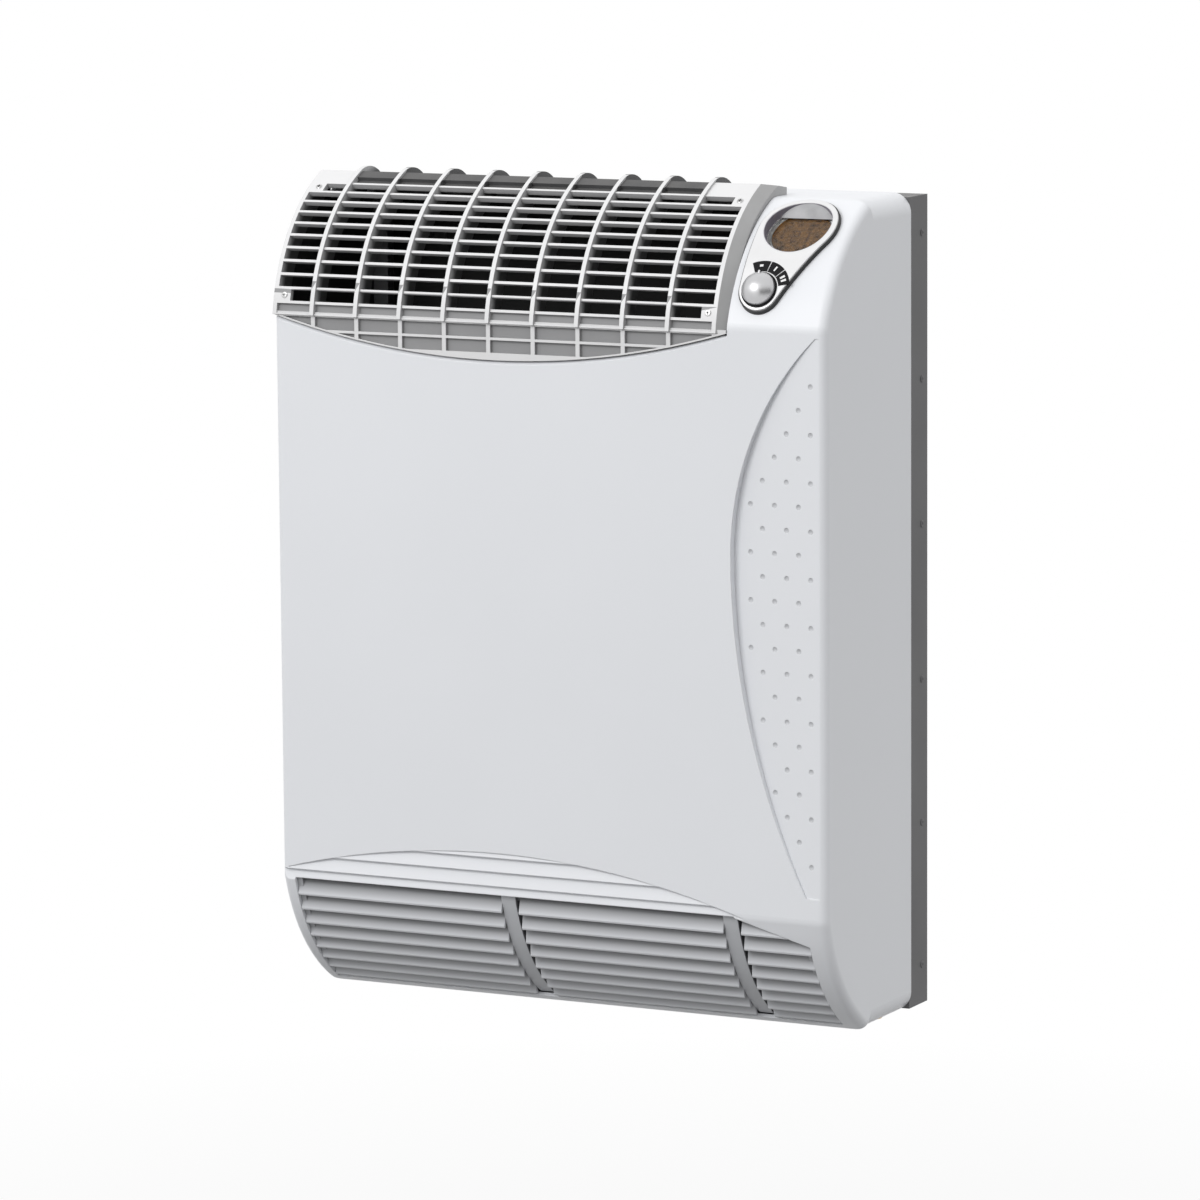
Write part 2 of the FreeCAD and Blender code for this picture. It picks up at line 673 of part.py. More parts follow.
# Holes of the two casing screws
casing_screw_holes = [
    rod(
        f"casing_screw_hole_{side}", "screw_radius + screw_slack", "casing_wall + 2 * overrun",
        (f"{side} * tab_spread", "-frame_depth - tab_screw_reach", up("-overrun")), "z",
    )
    for side in (-1, 1)
]
casing_room = cut("casing_room", casing_hollow, backing, step_backing)
casing_shell = cut("casing_shell", casing_solid, casing_room)
grille_gap = cut("grille_gap", grille_seat, grille_roof)
casing_plain = cut(
    "casing_plain", casing_shell, grille_gap, apron_seat, apron_edge, louvre_gap, fascia_hole, steps, facet,
    *casing_screw_holes,
)
# Shallow round dimples in staggered rows over the facet
BALL = "(dimple_radius^2 + dimple_depth^2) / (2 * dimple_depth)"
doc.recompute()
facet_face = Part.Face(facet_edge.Shape)
dimples = []
for row in range(int(number("dimple_rows"))):
    rise = up(f"dimple_first - dimple_rise * {row}")
    for column in range(int(number("dimple_columns"))):
        across = f"dimple_first_x + dimple_pitch * (1 - {column} + {row % 2} / 2)"
        spot = V(number(across), 0, number(rise))
        apart = Part.Vertex(spot).distToShape(facet_edge.Shape)[0]
        if apart < number("dimple_margin") or not facet_face.isInside(spot, number("edge_near"), True):
            continue
        if number(across) + number("dimple_margin") > number("facet_right"):
            continue
        level = f"facet_depth * (facet_right - ({across})) / (facet_right - facet_left + facet_margin)"
        ball = doc.addObject("Part::Sphere", f"dimple_{row}_{column}")
        bind(ball, Radius=BALL)
        dimples.append(place(ball, (across, f"{FRONT} + {level} + dimple_depth - {BALL}", rise)))
dimple_field = doc.addObject("Part::Compound", "dimple_field")
dimple_field.Links = dimples
keep("front_casing", cut("front_casing", casing_plain, dimple_field))

# Outlet grille: a curved grey grid, its own origin on the middle of its curve at the right end of the grid
grille = doc.addObject("PartDesign::Body", "outlet_grille")
place(grille, ("grille_right", GRILLE_Y, GRILLE_Z))
ROOF = f"casing_height / 2 + fascia_seat - {GRILLE_Z}"
EDGE_Y, EDGE_Z = polar("grille_radius", "grille_last_angle")


def shifted(item, text):
    """Move a sketch along its own normal."""
    item.setExpression("AttachmentOffset.Base.z", bound(text))
    return item


HOOD_END = f"{EDGE_Y} + hood_reach"
HOOD_TOP = f"{EDGE_Z} - hood_drop"
hood_lip = [
    (HOOD_END, ROOF),
    (f"{HOOD_END} - grille_skin", ROOF),
    (f"{HOOD_END} - grille_skin", f"{HOOD_TOP} - grille_skin"),
]


def curved_plate(name, inner, proud, home):
    """A side outline of the grille: up its curve at a height over the skin, back over the hood, and home."""
    outer = f"grille_radius + {proud}"
    return draw(new_sketch(name, "YZ", grille), [
        (*polar(inner, "grille_first_angle"), inner, 1),
        polar(outer, "grille_first_angle"),
        (*polar(outer, "grille_last_angle"), outer, -1),
        *home,
        polar(inner, "grille_last_angle"),
    ])


def curved_band(name, start, inner, outer, *spans):
    """Side outlines between two radii and between pairs of angles."""
    item = shifted(new_sketch(name, "YZ", grille), start)
    for first, last in spans:
        draw(item, [
            (*polar(inner, first), inner, 1),
            polar(outer, first),
            (*polar(outer, last), outer, -1),
            polar(inner, last),
        ])
    return item


grille_shell = curved_plate(
    "grille_skin_outline", "grille_radius - grille_skin", "0", [(HOOD_END, HOOD_TOP), *hood_lip],
)
pad(grille, grille_shell, "grille_width", back=True)
PAST = "grille_radius + overrun"
window = curved_band(
    "grille_window", "-rib_width / 2", "grille_radius - grille_skin - overrun", PAST,
    ("row_first_angle + bar_angle / 2", "row_first_angle + row_angle - bar_angle / 2"),
)


def grid(name, feature, first, second):
    """Repeat a feature of the grille by two patterns in turn."""
    item = grille.newObject("PartDesign::MultiTransform", name)
    item.Originals = [feature]
    item.Transformations = [first, second]
    grille.Tip = item
    return item


def across_grille(name, count):
    """A pattern of columns, from the right end to the left."""
    item = grille.newObject("PartDesign::LinearPattern", name)
    item.Direction = (own_plane(grille, "X_Axis"), [""])
    item.Reversed = True
    return bind(item, Length=f"column_pitch * ({count} - 1)", Occurrences=count)


window_cut = pad(grille, window, "column_pitch - rib_width", kind="PartDesign::Pocket")
window_columns = across_grille("window_columns", "columns")
window_rows = grille.newObject("PartDesign::PolarPattern", "window_rows")
window_rows.Axis = (own_plane(grille, "X_Axis"), [""])
window_rows.Reversed = True
bind(window_rows, Angle="row_angle * (rows - 1)", Occurrences="rows")
grid("grille_windows", window_cut, window_columns, window_rows)
# Blind cells: one row under the windows and one on the hood, between its white end pads
BLIND = "grille_radius - grille_skin + blind_floor"
LAST_ROW = "(row_first_angle + row_angle * rows)"
for name, start, count, first, last in (
    ("low_cell", "-rib_width / 2", "columns", "grille_first_angle + bar_angle / 2", "row_first_angle - bar_angle / 2"),
    ("hood_cell", "-column_pitch - rib_width / 2", "(columns - 2)", f"{LAST_ROW} + bar_angle / 2",
     f"{LAST_ROW} + row_angle - bar_angle"),
):
    blind = pad(
        grille, curved_band(name, start, BLIND, PAST, (first, last)), "column_pitch - rib_width",
        kind="PartDesign::Pocket",
    )
    blind_row = across_grille(f"{name}_row", count)
    blind_row.Originals = [blind]
    grille.Tip = blind_row
# Corner pads that shorten the end windows of the first and the last row, for the grille's screws
for name, start, width in (
    ("right", "0", "corner_pad"),
    ("left", "-grille_width + cheek_left + corner_pad", "corner_pad + cheek_left"),
):
    corners = curved_band(
        f"grille_{name}_pads", start, "grille_radius - grille_skin", "grille_radius",
        ("row_first_angle", "row_first_angle + row_angle"), (f"{LAST_ROW} - row_angle", LAST_ROW),
    )
    pad(grille, corners, width, back=True)
# Deep upright ribs that stand a little proud and rise in a hump over the hood
rib_outline = curved_plate("grille_rib", "grille_radius - rib_depth", "rib_proud", [
    (HOOD_END, f"{HOOD_TOP} + rib_proud", "hump_radius", -1),
    *hood_lip,
    polar("grille_radius - grille_skin", "grille_last_angle"),
])
rib = pad(grille, shifted(rib_outline, "-column_pitch"), "rib_width", symmetric=True)
rib_row = across_grille("rib_row", "columns - 1")
rib_row.Originals = [rib]
grille.Tip = rib_row
# End cheeks closed down to the casing's top, the right one sloped off outwards
ROOF_EDGE = "-(grille_radius - grille_skin) * cos(grille_last_angle) + 2 * grille_skin - grille_slack"
for name, start, width in (("left", "-grille_width", "cheek_left"), ("right", "0", "cheek_right")):
    cheek = curved_plate(f"grille_{name}_cheek", "grille_radius - cheek_depth", "0", [
        (HOOD_END, HOOD_TOP),
        (HOOD_END, ROOF),
        (ROOF_EDGE, ROOF),
    ])
    pad(grille, shifted(cheek, start), width)
slope = draw(new_sketch("grille_cheek_slope", "XZ", grille), [
    ("rib_width / 2", "grille_radius"),
    ("cheek_right + overrun", "grille_radius - cheek_bevel"),
    ("cheek_right + overrun", "grille_radius + overrun"),
    ("rib_width / 2", "grille_radius + overrun"),
])
slope_cut = grille.newObject("PartDesign::Groove", "grille_cheek_groove")
slope_cut.Profile = slope
slope_cut.ReferenceAxis = (slope, ["H_Axis"])
slope_cut.Angle = 360
# Blind apron let into the casing's flat front, with recessed cells inside a curved rim
apron = shifted(new_sketch("grille_apron", "XZ", grille), "grille_set_back - apron_sink")
draw(apron, [
    ("-grille_width", APRON_TOP),
    ("cheek_right", APRON_TOP, "apron_radius", 1),
    ("cheek_right", f"{APRON_TOP} + apron_lap"),
    ("-grille_width", f"{APRON_TOP} + apron_lap"),
])
pad(grille, apron, "apron_sink + apron_proud")
cell = shifted(new_sketch("apron_cell", "XZ", grille), "grille_set_back + apron_proud")
draw(cell, [
    ("-column_pitch + rib_width / 2", f"{APRON_TOP} - apron_row + apron_bar / 2"),
    ("-rib_width / 2", f"{APRON_TOP} - apron_row + apron_bar / 2"),
    ("-rib_width / 2", f"{APRON_TOP} - apron_bar / 2"),
    ("-column_pitch + rib_width / 2", f"{APRON_TOP} - apron_bar / 2"),
])
cell_cut = pad(grille, cell, "apron_recess", kind="PartDesign::Pocket")
cell_columns = across_grille("cell_columns", "columns")
cell_rows = grille.newObject("PartDesign::LinearPattern", "cell_rows")
cell_rows.Direction = (own_plane(grille, "Z_Axis"), [""])
cell_rows.Reversed = True
bind(cell_rows, Length="apron_row * (apron_rows - 1)", Occurrences="apron_rows")
grid("apron_cells", cell_cut, cell_columns, cell_rows)
rim = shifted(new_sketch("apron_rim", "XZ", grille), "grille_set_back - apron_sink")
draw(rim, [
    ("-grille_width", APRON_TOP),
    ("cheek_right", APRON_TOP, "apron_radius", 1),
    ("cheek_right", f"{APRON_TOP} + apron_rim"),
    ("-grille_width", f"{APRON_TOP} + apron_rim", "apron_radius", -1),
])
pad(grille, rim, "apron_sink + apron_proud")
refine_last(grille)
keep("outlet_grille", grille)

# Intake louvre: clapboard slats between two dividers, held behind the casing by end flanges
louvre = doc.addObject("PartDesign::Body", "intake_louvre")
place(louvre, ("louvre_left", LOWER_Y, LOWER_Z))


def louvre_plate(name, inner, outer, first, last, start, length, kind="PartDesign::Pad"):
    """A curved bar of the louvre between two radii, from a start along the width, added or cut away."""
    item = shifted(new_sketch(name, "YZ", louvre), start)
    draw(item, [
        (*polar(inner, first), inner, -1),
        polar(outer, first),
        (*polar(outer, last), outer, 1),
        polar(inner, last),
    ])
    return pad(louvre, item, length, back=kind.endswith("Pocket"), kind=kind)


slat = new_sketch("louvre_slat", "YZ", louvre)
draw(slat, [
    polar("lower_radius - slat_depth", "-slat_first_angle"),
    polar("lower_radius", "-slat_first_angle - slat_span_angle"),
    polar("lower_radius", "-slat_first_angle - slat_span_angle - slat_lip_angle"),
    polar("lower_radius - slat_sheet", "-slat_first_angle - slat_span_angle - slat_lip_angle"),
    polar("lower_radius - slat_depth - slat_sheet", "-slat_first_angle"),
])
slat_pad = pad(louvre, slat, "louvre_width")
slat_row = pattern(
    louvre, "Polar", slat_pad, "X", Angle="slat_angle * (slats - 1)", Occurrences="slats",
)
FIRST, LAST = "-louvre_first_angle", "-louvre_last_angle"
INNER, SUNK = "lower_radius - louvre_depth", "lower_radius - divider_recess"
for name, start in (("left", "0"), ("right", "louvre_width - louvre_end")):
    louvre_plate(f"louvre_{name}_end", INNER, SUNK, FIRST, LAST, start, "louvre_end")
# Two dividers set back from the slats' lips, each with a slot along its right side
OUTSIDE = "lower_radius + overrun"
for name in ("left", "right"):
    start = f"divider_{name}_x - louvre_left - divider_width / 2"
    louvre_plate(f"louvre_{name}_divider", INNER, SUNK, FIRST, LAST, start, "divider_width")
    louvre_plate(
        f"louvre_{name}_gap", SUNK, OUTSIDE, FIRST, LAST, start, "divider_width", "PartDesign::Pocket",
    )
    louvre_plate(
        f"louvre_{name}_notch", "lower_radius - notch_depth", OUTSIDE, FIRST, LAST, f"{start} + divider_width",
        "notch_width", "PartDesign::Pocket",
    )
FLANGE = "lower_radius - casing_wall - louvre_slack"
for name, start in (("left", "-louvre_flange"), ("right", "louvre_width - louvre_end")):
    louvre_plate(
        f"louvre_{name}_flange", f"{FLANGE} - louvre_flange_sheet", FLANGE, FIRST, LAST, start,
        "louvre_flange + louvre_end",
    )
corner_outline = draw(new_sketch("louvre_corner_cut", "XZ", louvre), corner_path("0", "0", "louvre_slack"))
pad(louvre, corner_outline, "lower_radius + overrun", back=True, kind="PartDesign::Pocket")
refine_last(louvre)
keep("intake_louvre", louvre)

# Control fascia: the silver teardrop, with a cup for the display and a hole for the selector's bushing
fascia_band = rod(
    "fascia_band", "upper_radius + fascia_proud", "casing_width / 2", ("0", UPPER_Y, UPPER_Z), "x",
)
fascia_bed = rod("fascia_bed", "upper_radius + fascia_seat", "casing_width / 2", ("0", UPPER_Y, UPPER_Z), "x")
fascia_plate = common(
    "fascia_plate", teardrop("fascia_blank", "0", "fascia_reach * 2"), cut("fascia_shell", fascia_band, fascia_bed),
)
CUP_FLOOR = "upper_radius - display_cup_depth"
display_cup = radial_rod(
    "display_cup", "display_radius + display_cup_wall", "display_cup_depth + fascia_seat * 2", "fascia_big_x",
    CUP_FLOOR, "display_tilt",
)
display_recess = radial_rod(
    "display_recess", "display_radius", "fascia_reach", "fascia_big_x", f"{CUP_FLOOR} + display_cup_floor",
    "display_tilt",
)
display_sight = radial_rod(
    "display_sight", "display_sight_radius", "fascia_reach", "fascia_big_x", f"{CUP_FLOOR} - overrun", "display_tilt",
)
selector_hole = radial_rod(
    "selector_hole", "bushing_radius + bushing_slack", "fascia_reach", "fascia_small_x",
    "upper_radius - fascia_reach / 2", "selector_tilt",
)
keep("control_fascia", cut(
    "control_fascia", fuse("fascia_with_cup", fascia_plate, display_cup), display_recess, display_sight, selector_hole,
))

# Fascia gasket: the black seal that shows as a rim round the teardrop
gasket_band = rod(
    "gasket_band", "upper_radius + gasket_proud", "casing_width / 2", ("0", UPPER_Y, UPPER_Z), "x",
)
gasket_bed = rod("gasket_bed", "upper_radius + fascia_seat", "casing_width / 2", ("0", UPPER_Y, UPPER_Z), "x")
gasket_blank = common(
    "gasket_blank", teardrop("gasket_outside", "gasket_width", "fascia_reach * 2"),
    cut("gasket_shell", gasket_band, gasket_bed),
)
keep("fascia_gasket", cut(
    "fascia_gasket", gasket_blank, teardrop("gasket_inside", "fascia_seat", "fascia_reach * 3"),
))

# Display lens and the display module behind it
keep("display_lens", radial_rod(
    "display_lens", "display_radius - lens_gap", "lens_thick", "fascia_big_x", f"{CUP_FLOOR} + display_cup_floor",
    "display_tilt",
))


def radial_box(name, side, thick, x, radius, tilt):
    """A square box under the upper rolled face, its middle on a radius of that face."""
    item = doc.addObject("Part::Box", name)
    bind(item, Length=side, Width=side, Height=thick)
    radial(item, f"{x} - {side} / 2", radius, tilt)
    return place(item, (
        f"{x} - {side} / 2",
        f"{UPPER_Y} - ({radius}) * cos({tilt}) - {side} / 2 * sin({tilt})",
        f"{UPPER_Z} + ({radius}) * sin({tilt}) - {side} / 2 * cos({tilt})",
    ))


keep("display_module", radial_box(
    "display_module", "module_side", "module_thick", "fascia_big_x", f"{CUP_FLOOR} - module_thick", "display_tilt",
))

# Selector: a rotary switch under the fascia, its shaft, and the domed knob on top
SELECTOR_SIZES = {
    "switch_side": 21, "switch_thick": 12, "switch_drop": 0.6, "bushing_rise": 4.2, "shaft_radius": 3,
    "shaft_root": 9, "shaft_top": 11, "shaft_floor": 1, "knob_radius": 15, "knob_rim": 3.5,
    "knob_height": 12, "knob_dome_radius": 17.5, "knob_lift": 0.7, "knob_bore_depth": 7,
    "pointer_width": 1.6, "pointer_length": 5, "pointer_height": 1.2,
}
sizes(SELECTOR_SIZES)
switch_box = radial_box(
    "switch_box", "switch_side", "switch_thick", "fascia_small_x", "upper_radius - switch_drop - switch_thick",
    "selector_tilt",
)
bushing = radial_rod(
    "bushing", "bushing_radius", "switch_drop + bushing_rise + overrun", "fascia_small_x",
    "upper_radius - switch_drop - overrun", "selector_tilt",
)
switch_bore = radial_rod(
    "switch_bore", "shaft_radius + shaft_gap", "fascia_reach", "fascia_small_x",
    "upper_radius - shaft_root - shaft_floor", "selector_tilt",
)
keep("selector_switch", cut("selector_switch", fuse("switch_with_bushing", switch_box, bushing), switch_bore))
keep("selector_shaft", radial_rod(
    "selector_shaft", "shaft_radius", "shaft_root + shaft_top", "fascia_small_x", "upper_radius - shaft_root",
    "selector_tilt",
))
knob = doc.addObject("PartDesign::Body", "selector_knob")
radial(knob, "fascia_small_x", "upper_radius + fascia_proud + knob_lift", "selector_tilt")
knob_outline = draw(new_sketch("knob_outline", "XZ", knob), [
    ("shaft_radius + shaft_gap", "0"),
    ("knob_radius", "0"),
    ("knob_radius", "knob_rim"),
    ("0", "knob_height", "knob_dome_radius", 1),
    ("0", "knob_bore_depth"),
    ("shaft_radius + shaft_gap", "knob_bore_depth"),
])
knob_turn = knob.newObject("PartDesign::Revolution", "knob_turn")
knob_turn.Profile = knob_outline
knob_turn.ReferenceAxis = (knob_outline, ["V_Axis"])
knob_turn.Angle = 360
pointer = draw(new_sketch("knob_pointer", "XY", knob), [
    ("-pointer_width / 2", "knob_radius - pointer_length"),
    ("pointer_width / 2", "knob_radius - pointer_length"),
    ("pointer_width / 2", "knob_radius"),
    ("-pointer_width / 2", "knob_radius"),
])
pad(knob, pointer, "knob_rim + pointer_height + pointer_length / 2")
keep("selector_knob", knob)

# Casing screws: two pan heads under the casing, each into a tab of the rear frame
screws = []
for side in (-1, 1):
    head = rod(
        f"casing_screw_head_{side}", "screw_head_radius", "screw_head",
        (f"{side} * tab_spread", "-frame_depth - tab_screw_reach", up("-screw_head")), "z",
    )
    shank = rod(
        f"casing_screw_shank_{side}", "screw_radius - shaft_gap", "screw_length",
        (f"{side} * tab_spread", "-frame_depth - tab_screw_reach", up("0")), "z",
    )
    screws.append(fuse(f"casing_screw_{side}", head, shank))
keep("casing_screws", fuse("casing_screws", *screws))

# Partition plate between the warm-air duct on the left and the gas compartment on the right
PARTITION_SIZES = {
    "inner_sheet": 1.2, "partition_x": 181, "duct_front": 199, "duct_low": 205, "duct_high": 600,
    "partition_low": 110, "foot": 14, "burner_y": -110, "burner_rise": 258, "burner_radius": 20,
    "burner_wall": 1,
}
sizes(PARTITION_SIZES)
BACK = "-frame_sheet"


def standing_plate(name, x, front, low, high, foot_side):
    """An upright sheet from the rear frame towards the front, with a foot against the frame."""
    sheet_part = box(
        f"{name}_sheet", ("inner_sheet", f"{front} - frame_sheet", f"{high} - {low}"), (x, f"-({front})", up(low)),
    )
    foot_x = f"{x} - foot" if foot_side < 0 else f"{x} + inner_sheet"
    foot_part = box(
        f"{name}_foot", ("foot", "inner_sheet", f"{high} - {low}"), (foot_x, f"{BACK} - inner_sheet", up(low)),
    )
    return fuse(name, sheet_part, foot_part)


keep("partition_plate", cut(
    "partition_plate",
    standing_plate("partition_blank", "partition_x", "duct_front", "partition_low", "duct_high", -1),
    rod("partition_hole", "burner_radius + pipe_slack", "inner_sheet + 2 * overrun",
        ("partition_x - overrun", "burner_y", up("burner_rise")), "x"),
))

# Air duct: the sheet in front of the exchanger and its left side, closed on the right by the partition
DUCT_SIZES = {
    "duct_left": -234,
}
sizes(DUCT_SIZES)
duct_side = standing_plate("duct_side", "duct_left", "duct_front", "duct_low", "duct_high", -1)
duct_face = box(
    "duct_face", ("partition_x - duct_left", "inner_sheet", "duct_high - duct_low"),
    ("duct_left", "-duct_front", up("duct_low")),
)
keep("air_duct", fuse("air_duct", duct_side, duct_face))

# Heat exchanger: a cast light-alloy chamber with upright fins in front and behind
EXCHANGER_SIZES = {
    "core_left": -215, "core_width": 330, "core_front": -150, "core_depth": 80, "core_low": 215,
    "core_height": 300, "core_wall": 8, "fin_depth": 22, "fin_sheet": 3, "fins": 22, "fin_margin": 4,
    "burner_port_radius": 23, "electrode_radius": 4, "electrode_slack": 0.3, "electrode_spread": 15,
    "electrode_rise": 26, "flue_clear": 3,
}
sizes(EXCHANGER_SIZES)
CORE_RIGHT = "core_left + core_width"
CORE_BACK = "core_front + core_depth"
exchanger = doc.addObject("PartDesign::Body", "heat_exchanger")
ADD_BOX, CUT_BOX = "PartDesign::AdditiveBox", "PartDesign::SubtractiveBox"
ADD_ROD, CUT_ROD = "PartDesign::AdditiveCylinder", "PartDesign::SubtractiveCylinder"
box(
    "core", ("core_width", "core_depth", "core_height"), ("core_left", "core_front", up("core_low")), ADD_BOX,
    exchanger,
)
fin_pair = [
    box(
        f"fin_{name}", ("fin_sheet", "fin_depth", "core_height"),
        ("core_left + fin_margin", y, up("core_low")), ADD_BOX, exchanger,
    )
    for name, y in (("front", "core_front - fin_depth"), ("rear", CORE_BACK))
]
fin_row = pattern(
    exchanger, "Linear", fin_pair[0], "X", Length="core_width - 2 * fin_margin - fin_sheet", Occurrences="fins",
)
fin_row.Originals = fin_pair
box(
    "chamber", ("core_width - 2 * core_wall", "core_depth - 2 * core_wall", "core_height - 2 * core_wall"),
    ("core_left + core_wall", "core_front + core_wall", up("core_low + core_wall")), CUT_BOX, exchanger,
)
rod(
    "burner_port", "burner_port_radius", "core_wall + 2 * overrun",
    (f"{CORE_RIGHT} - core_wall - overrun", "burner_y", up("burner_rise")), "x", CUT_ROD, exchanger,
)
for side in (-1, 1):
    rod(
        f"electrode_port_{side + 1}", "electrode_radius + electrode_slack", "core_wall + 2 * overrun",
        (f"{CORE_RIGHT} - core_wall - overrun", f"burner_y + {side} * electrode_spread",
         up("burner_rise + electrode_rise")), "x", CUT_ROD, exchanger,
    )
rod(
    "flue_port", "flue_pipe_radius - pipe_wall - port_step", "core_wall + 2 * overrun",
    ("flue_x", f"{CORE_BACK} - core_wall - overrun", up("flue_rise")), "y", CUT_ROD, exchanger,
)
rod(
    "flue_clearance", "flue_pipe_radius + flue_clear", "fin_depth + overrun",
    ("flue_x", CORE_BACK, up("flue_rise")), "y", CUT_ROD, exchanger,
)
keep("heat_exchanger", exchanger)

# Exchanger brackets: one upright sheet at each end of the casting
BRACKET_SIZES = {
    "bracket_low": 310, "bracket_high": 480, "bracket_lap": 20,
}
sizes(BRACKET_SIZES)
BRACKET_FRONT = "-(core_front + core_depth) + bracket_lap"
keep("left_bracket", standing_plate(
    "left_bracket", "core_left - inner_sheet", BRACKET_FRONT, "bracket_low", "bracket_high", 1,
))
keep("right_bracket", standing_plate(
    "right_bracket", CORE_RIGHT, BRACKET_FRONT, "bracket_low", "bracket_high", 1,
))

# Burner: a closed stainless tube inside the chamber, on a door with its gasket, screws and two electrodes
BURNER_SIZES = {
    "door_gasket": 1.5, "door_thick": 5.5, "door_width": 66, "door_height": 72, "door_up": 4,
    "burner_reach": 265, "door_screw_inset": 7, "electrode_outside": 22, "electrode_inside": 24,
    "electrode_wire": 1.2, "electrode_wire_reach": 26,
    "door_screw_head_radius": 4.5, "door_screw_head": 3.5,
}
sizes(BURNER_SIZES)
DOOR_X = f"{CORE_RIGHT} + door_gasket"
DOOR_END = f"{DOOR_X} + door_thick"


def door_plate(name, x, thick, hole):
    """A plate over the burner port, with a hole for the tube and one for each electrode."""
    plate = box(
        f"{name}_plate", (thick, "door_width", "door_height"),
        (x, "burner_y - door_width / 2", up("burner_rise + door_up - door_height / 2")),
    )
    holes = [rod(
        f"{name}_hole", hole, f"{thick} + 2 * overrun", (f"{x} - overrun", "burner_y", up("burner_rise")), "x",
    )]
    for side in (-1, 1):
        holes.append(rod(
            f"{name}_electrode_hole_{side}", "electrode_radius + shaft_gap", f"{thick} + 2 * overrun",
            (f"{x} - overrun", f"burner_y + {side} * electrode_spread", up("burner_rise + electrode_rise")), "x",
        ))
    return cut(name, plate, *holes)


keep("burner_gasket", door_plate("burner_gasket", CORE_RIGHT, "door_gasket", "burner_port_radius"))
keep("burner_door", door_plate("burner_door", DOOR_X, "door_thick", "burner_radius + shaft_gap"))
keep("burner_tube", cut(
    "burner_tube",
    rod("burner_outside", "burner_radius", "burner_reach",
        (f"{DOOR_END} - burner_reach", "burner_y", up("burner_rise")), "x"),
    rod("burner_inside", "burner_radius - burner_wall", "burner_reach",
        (f"{DOOR_END} - burner_reach + burner_wall", "burner_y", up("burner_rise")), "x"),
))
for side, label in ((-1, "ignition_electrode"), (1, "flame_electrode")):
    where = (f"burner_y + {side} * electrode_spread", up("burner_rise + electrode_rise"))
    ceramic = rod(
        f"{label}_ceramic", "electrode_radius", "electrode_inside + door_thick + electrode_outside",
        (f"{DOOR_X} - electrode_inside", *where), "x",
    )
    wire = rod(
        f"{label}_wire", "electrode_wire",
        "electrode_inside + door_thick + electrode_outside + 2 * electrode_wire_reach",
        (f"{DOOR_X} - electrode_inside - electrode_wire_reach", *where), "x",
    )
    keep(label, fuse(label, ceramic, wire))
door_screws = [
    rod(
        f"door_screw_{side}_{level}", "door_screw_head_radius", "door_screw_head",
        (DOOR_END, f"burner_y + {side} * (door_width / 2 - door_screw_inset)",
         up(f"burner_rise + door_up + {level} * (door_height / 2 - door_screw_inset)")), "x",
    )
    for side in (-1, 1)
    for level in (-1, 1)
]
keep("door_screws", fuse("door_screws", *door_screws))

# Combustion blower: a scroll in the gas compartment that blows to the left through the mixing duct
BLOWER_SIZES = {
    "scroll_radius": 39, "scroll_front": -130, "scroll_depth": 40, "scroll_wall": 2,
    "scroll_outlet_x": 184, "scroll_outlet": 30, "blower_bore": 4.5, "cover_thick": 2,
    "impeller_radius": 31, "impeller_width": 25, "impeller_front": -123, "impeller_disc": 1.6,
    "impeller_hub": 7, "impeller_blades": 24, "blade_inner": 22, "blade_sheet": 1.3,
    "blower_shaft_radius": 3, "blower_motor_radius": 27, "blower_motor_length": 44,
    "blower_shaft_back": -101, "blower_shaft_length": 56, "feed_x": 203, "feed_radius": 5, "feed_bore": 3,
}
sizes(BLOWER_SIZES)
SCROLL_BACK = "scroll_front + scroll_depth"
SCROLL_LOW = "air_rise - scroll_radius"
scroll_drum = rod("scroll_drum", "scroll_radius", "scroll_depth", ("air_x", "scroll_front", up("air_rise")), "y")
scroll_neck = box(
    "scroll_neck", ("air_x - scroll_outlet_x", "scroll_depth", "scroll_outlet"),
    ("scroll_outlet_x", "scroll_front", up(SCROLL_LOW)),
)
scroll_room = rod(
    "scroll_room", "scroll_radius - scroll_wall", "scroll_depth",
    ("air_x", "scroll_front + scroll_wall", up("air_rise")), "y",
)
scroll_way = box(
    "scroll_way",
    ("air_x - scroll_outlet_x + overrun", "scroll_depth - 2 * scroll_wall", "scroll_outlet - 2 * scroll_wall"),
    ("scroll_outlet_x - overrun", "scroll_front + scroll_wall", up(f"{SCROLL_LOW} + scroll_wall")),
)
scroll_eye = rod(
    "scroll_eye", "blower_bore", "scroll_wall + 2 * overrun", ("air_x", "scroll_front - overrun", up("air_rise")), "y",
)
feed_port = rod(
    "feed_port", "feed_bore", "scroll_wall + 2 * overrun", ("feed_x", "burner_y", up(f"{SCROLL_LOW} - overrun")), "z",
)
keep("blower_scroll", cut(
    "blower_scroll", fuse("scroll_blank", scroll_drum, scroll_neck), scroll_room, scroll_way, scroll_eye, feed_port,
))
keep("blower_cover", tube(
    "blower_cover", "scroll_radius", "air_pipe_radius - pipe_wall - port_step", "cover_thick",
    ("air_x", SCROLL_BACK, up("air_rise")), "y",
))
keep("blower_motor", cut(
    "blower_motor",
    rod("blower_motor_drum", "blower_motor_radius", "blower_motor_length",
        ("air_x", "scroll_front - blower_motor_length", up("air_rise")), "y"),
    rod("blower_motor_bore", "blower_shaft_radius + shaft_gap", "blower_shaft_length",
        ("air_x", "blower_shaft_back - blower_shaft_length - shaft_floor", up("air_rise")), "y"),
))
keep("blower_shaft", rod(
    "blower_shaft", "blower_shaft_radius", "blower_shaft_length",
    ("air_x", "blower_shaft_back - blower_shaft_length", up("air_rise")), "y",
))
impeller = doc.addObject("PartDesign::Body", "blower_impeller")
impeller.Placement = FreeCAD.Placement(V(), TURNS["y"])
place(impeller, ("air_x", "impeller_front", up("air_rise")))
